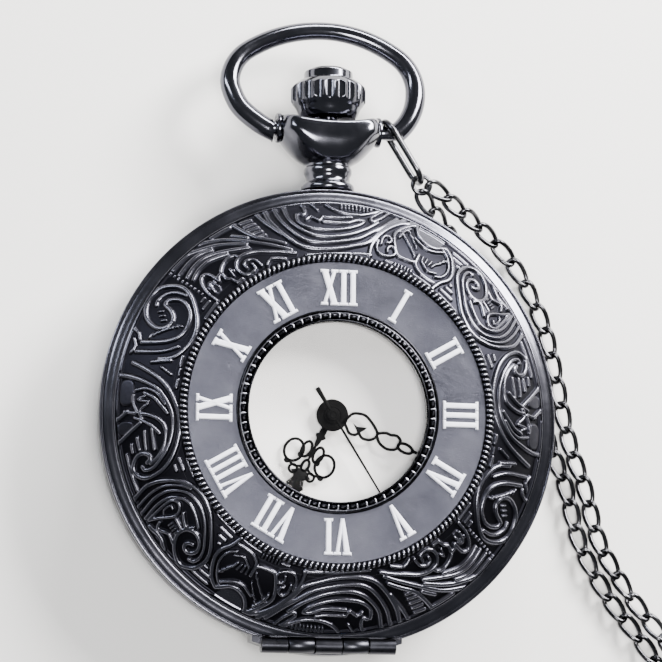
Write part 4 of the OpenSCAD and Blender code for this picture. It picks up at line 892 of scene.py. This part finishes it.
def lean_back(p):
    x, y, z = p
    c, s = math.cos(LEAN), math.sin(LEAN)
    return x, EAR_Y + y * c + z * s, AXIS_Z - y * s + z * c


def arc(cx, cy, r, a0, a1, step=2.5):
    n = max(3, int(abs(a1 - a0) / step))
    return [(cx + r * math.cos(math.radians(a)), cy + r * math.sin(math.radians(a))) for a in np.linspace(a0,
                                                            a1, n)]


half = arc(3.53, 4.9, 6.37, -50.3, 0) + arc(5.3, 4.9, 4.6, 0, 54.4)[1:] + arc(0, 4.9 - 7.41, 13.71, 54.4,
                                                            90)[1:]
path = half + [(-x, y) for x, y in half[::-1]][1:]
# The left leg comes right up to its ear, while the right one leaves room for the clip link
path = [(x * (0.97 if x > 0 else 1.05), y + 0.04 * max(0.0, y - 4.9)) for x, y in path if x > 0 or y > 5.2]
path += [(-10.32, 4.4), (-10.02, 3.3), (-9.35, 2.2), (-8.3, 1.15), (-7.2, 0.35), (-6.1, -0.25), (-5.3, -0.6)]
path = smooth_line(path[::2] + path[-1:], 0.4)
along_bow = np.linspace(0, 1, len(path))
thick = 1.08 - 0.13 * np.clip(1 - np.abs(along_bow - 0.5) / 0.34, 0, 1) ** 0.8
v, f = tube([(x, y, 0) for x, y in path[:, :2]], thick, 40, up=(0, 0, 1))
v = [(min(x, -5.98) if -7.5 < x < 0 and y < 1.6 else x, y, z) for x, y, z in v]
caps = []
for s in (-1, 1):
    pegs = [(7.4, 0.72), (7.3, 0.75), (6.2, 0.75), (5.2, 0.75), (5.15, 0.7)]
    if s < 0:
        pegs = [(6.1, 0.72), (6.05, 0.75), (5.7, 0.75), (5.2, 0.75), (5.15, 0.7)]
    pv = [(s * x, r * math.cos(a), r * math.sin(a)) for x, r in [(pegs[0][0], 0.02), *pegs, (5.15, 0.02)]
          for a in np.linspace(0, 2 * math.pi, 32, endpoint=False)]
    caps.append((pv, grid_faces(7, 32)))
v, f = join([(v, f)] + caps)
bow = make("oval_bow", [lean_back(p) for p in v], f, GUN, "bow", "case_metal", crease=45, merge=False)
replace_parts(bow, "bow")

# -------------------------------------------------- clip link and jump ring, in round wire
v, f = [], []
run, half_w, wire = 4.3, 1.55, 0.34
pts = [(0, half_w), (run * 0.33, half_w), (run * 0.66, half_w), (run, half_w)]
pts += [(run + half_w * math.cos(math.radians(a)), half_w * math.sin(math.radians(a))) for a in range(75,
                                                            -90, -15)]
pts += [(run, -half_w), (run * 0.66, -half_w), (run * 0.33, -half_w), (0, -half_w)]
pts += [(half_w * math.cos(math.radians(a)), half_w * math.sin(math.radians(a))) for a in range(255, 90,
                                                            -15)]
loop = smooth_line(pts + [pts[0]], 0.25)[:-1]
loop = [(6.75 + (0.2 + u) * CLIP[0], EAR_Y + (0.2 + u) * CLIP[1], AXIS_Z + w) for u, w in loop]
normal = (-CLIP[1], CLIP[0], 0.0)
clip = make("clip_wire", *tube(loop, wire, 20, closed=True, up=normal), CHAIN, "case", "chain_metal",
            crease=60, merge=False)
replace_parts(clip, "clip_link")
t = np.linspace(0, 2 * math.pi, 48, endpoint=False)
loop = [(10.115 + 0.95 * math.cos(a), 25.365 + 0.95 * math.sin(a), AXIS_Z) for a in t]
ring = make("ring_wire", *tube(loop, 0.245, 16, closed=True), CHAIN, "case", "chain_metal", crease=60,
            merge=False)
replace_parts(ring, "jump_ring")

# -------------------------------------------------- pendant: turned neck under a boat with two ears
def boat(p):
    """Flattens the turned shape front and back, and gives its top the saddle's dip."""
    x, y, z = p
    w = z - AXIS_Z
    if y > 26.9:
        y += max(0.0, (y - 30.2) / 0.8) * (0.04 * min(abs(x), 5.0) ** 2 - 0.12)
        room = math.sqrt(max(0.4, 3.86 ** 2 - (y - 29.75) ** 2))
        if y < 28.35:
            room = max(room, 3.18)
        w = w / (1 + abs(w / room) ** 12) ** (1 / 12)
        x = math.copysign(min(abs(x), 5.12), x)
    return x, y, AXIS_Z + w


turned = [(2.0, 23.2), (2.1, 23.9), (2.4, 24.0), (2.72, 24.1), (2.8, 24.25), (2.79, 24.55), (2.7, 24.75),
          (2.5, 24.9), (2.38, 25.05),
          (2.34, 25.25), (2.34, 25.5), (2.38, 25.7), (2.48, 25.85), (2.54, 26.05), (2.54, 26.35),
          (2.48, 26.55), (2.4, 26.68),
          (2.4, 26.82), (2.5, 26.95), (2.7, 27.1)]
turned += [(2.85 + 2.75 * t, 27.2 + 2.85 * t ** 1.35) for t in np.linspace(0, 1, 14)]
turned += [(5.6, 30.3), (5.56, 30.6), (5.45, 30.85), (5.2, 31.0), (4.6, 31.06), (3.8, 31.04), (3.0, 31.0),
           (2.5, 30.98), (2.4, 30.9),
           (2.36, 30.6), (2.36, 28.0), (1.3, 27.9), (1.3, 23.2)]
pend = lathe("pendant_boat", turned, GUN, "case", "case_metal", n=180, along="y", place=boat, crease=48)
for s in (-1, 1):
    lip = [(4.9, 0.9), (4.9, 1.35), (5.1, 1.5), (5.2, 1.58), (5.42, 1.6), (5.55, 1.54), (5.58, 1.4),
           (5.55, 1.25), (5.48, 1.15), (5.5, 1.05),
           (5.6, 1.0), (5.6, 0.9), (5.5, 0.84), (5.2, 0.84), (4.95, 0.84)]
    lv = [(s * x, EAR_Y + r * math.cos(a), AXIS_Z + r * math.sin(a)) for x, r in lip
          for a in np.linspace(0, 2 * math.pi, 72, endpoint=False)]
    make("ear_lip_" + ("left" if s < 0 else "right"), lv, grid_faces(len(lip), 72, wrap_rows=True), GUN,
         "case", "case_metal", crease=45)
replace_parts(pend, "pendant")

# -------------------------------------------------- carried-over CAD nodes
FINISH = {
    GUN: ["inner_bezel"],
    # painted shade: the mid case and hinge pin take the darker gunmetal so the hinge under the rim stays dim
    DARK_SHADE_SHELL: ["back_cover", "mid_case", "hinge_pin", "cover_liner"],
    PLATE: ["numeral_ring"],
    DIAL: ["dial"],
    CRYSTAL: ["window_glass", "dial_crystal"],
    STEEL: ["winding_stem", "sliding_pinion", "setting_lever", "rotor", "stator", "coil_core", "quartz_can",
            "button_cell", "movement_screws"],
    BLUED: ["lift_spring", "cover_latch", "battery_strap"],
    BRASS: ["main_plate", "train_bridge", "hour_wheel", "centre_wheel", "fourth_wheel", "third_wheel",
            "fifth_wheel", "minute_wheel"],
    COPPER: ["drive_coil"],
    BOARD: ["circuit_board"],
    RESIN: ["timing_chip"],
    PLASTIC: ["movement_ring"],
    RUBBER: ["back_gasket"],
}
for material, names in FINISH.items():
    for name in names:
        me = NODES[name].data
        me.materials.clear()
        me.materials.append(material)

# -------------------------------------------------- floor and lights
floor_mat, nt, bsdf = new_mat("pale_floor", (0.72, 0.71, 0.69), 0.0, 0.7)
bm = bmesh.new()
bmesh.ops.create_grid(bm, x_segments=1, y_segments=1, size=1.5)
me = bpy.data.meshes.new("floor")
bm.to_mesh(me)
bm.free()
floor = bpy.data.objects.new("floor", me)
SCENE.collection.objects.link(floor)
me.materials.append(floor_mat)
floor.location.z = -0.0001


def softbox(name, at, size, watts, color=(1, 1, 1)):
    data = bpy.data.lights.new(name, "AREA")
    data.shape, data.size, data.size_y = "RECTANGLE", size[0] * MM, size[1] * MM
    data.energy, data.color = watts, color
    ob = bpy.data.objects.new(name, data)
    SCENE.collection.objects.link(ob)
    ob.location = Vector(at) * MM
    ob.rotation_mode = "QUATERNION"
    ob.rotation_quaternion = (Vector((0, 5, 8)) - Vector(at)).to_track_quat("-Z", "Y")


softbox("key", (230, 190, 190), (120, 170), 5.0, (1, 0.98, 0.96))
softbox("strip", (120, 300, 150), (220, 40), 3.0)
softbox("fill", (-280, 160, 200), (50, 200), 0.8, (0.88, 0.92, 1))
softbox("above", (-30, -60, 330), (90, 90), 1.5, (1, 0.985, 0.965))
world = bpy.data.worlds.new("world")
world.use_nodes = True
world.node_tree.nodes["Background"].inputs[0].default_value = (0.8, 0.84, 0.9, 1)
world.node_tree.nodes["Background"].inputs[1].default_value = 0.24
SCENE.world = world
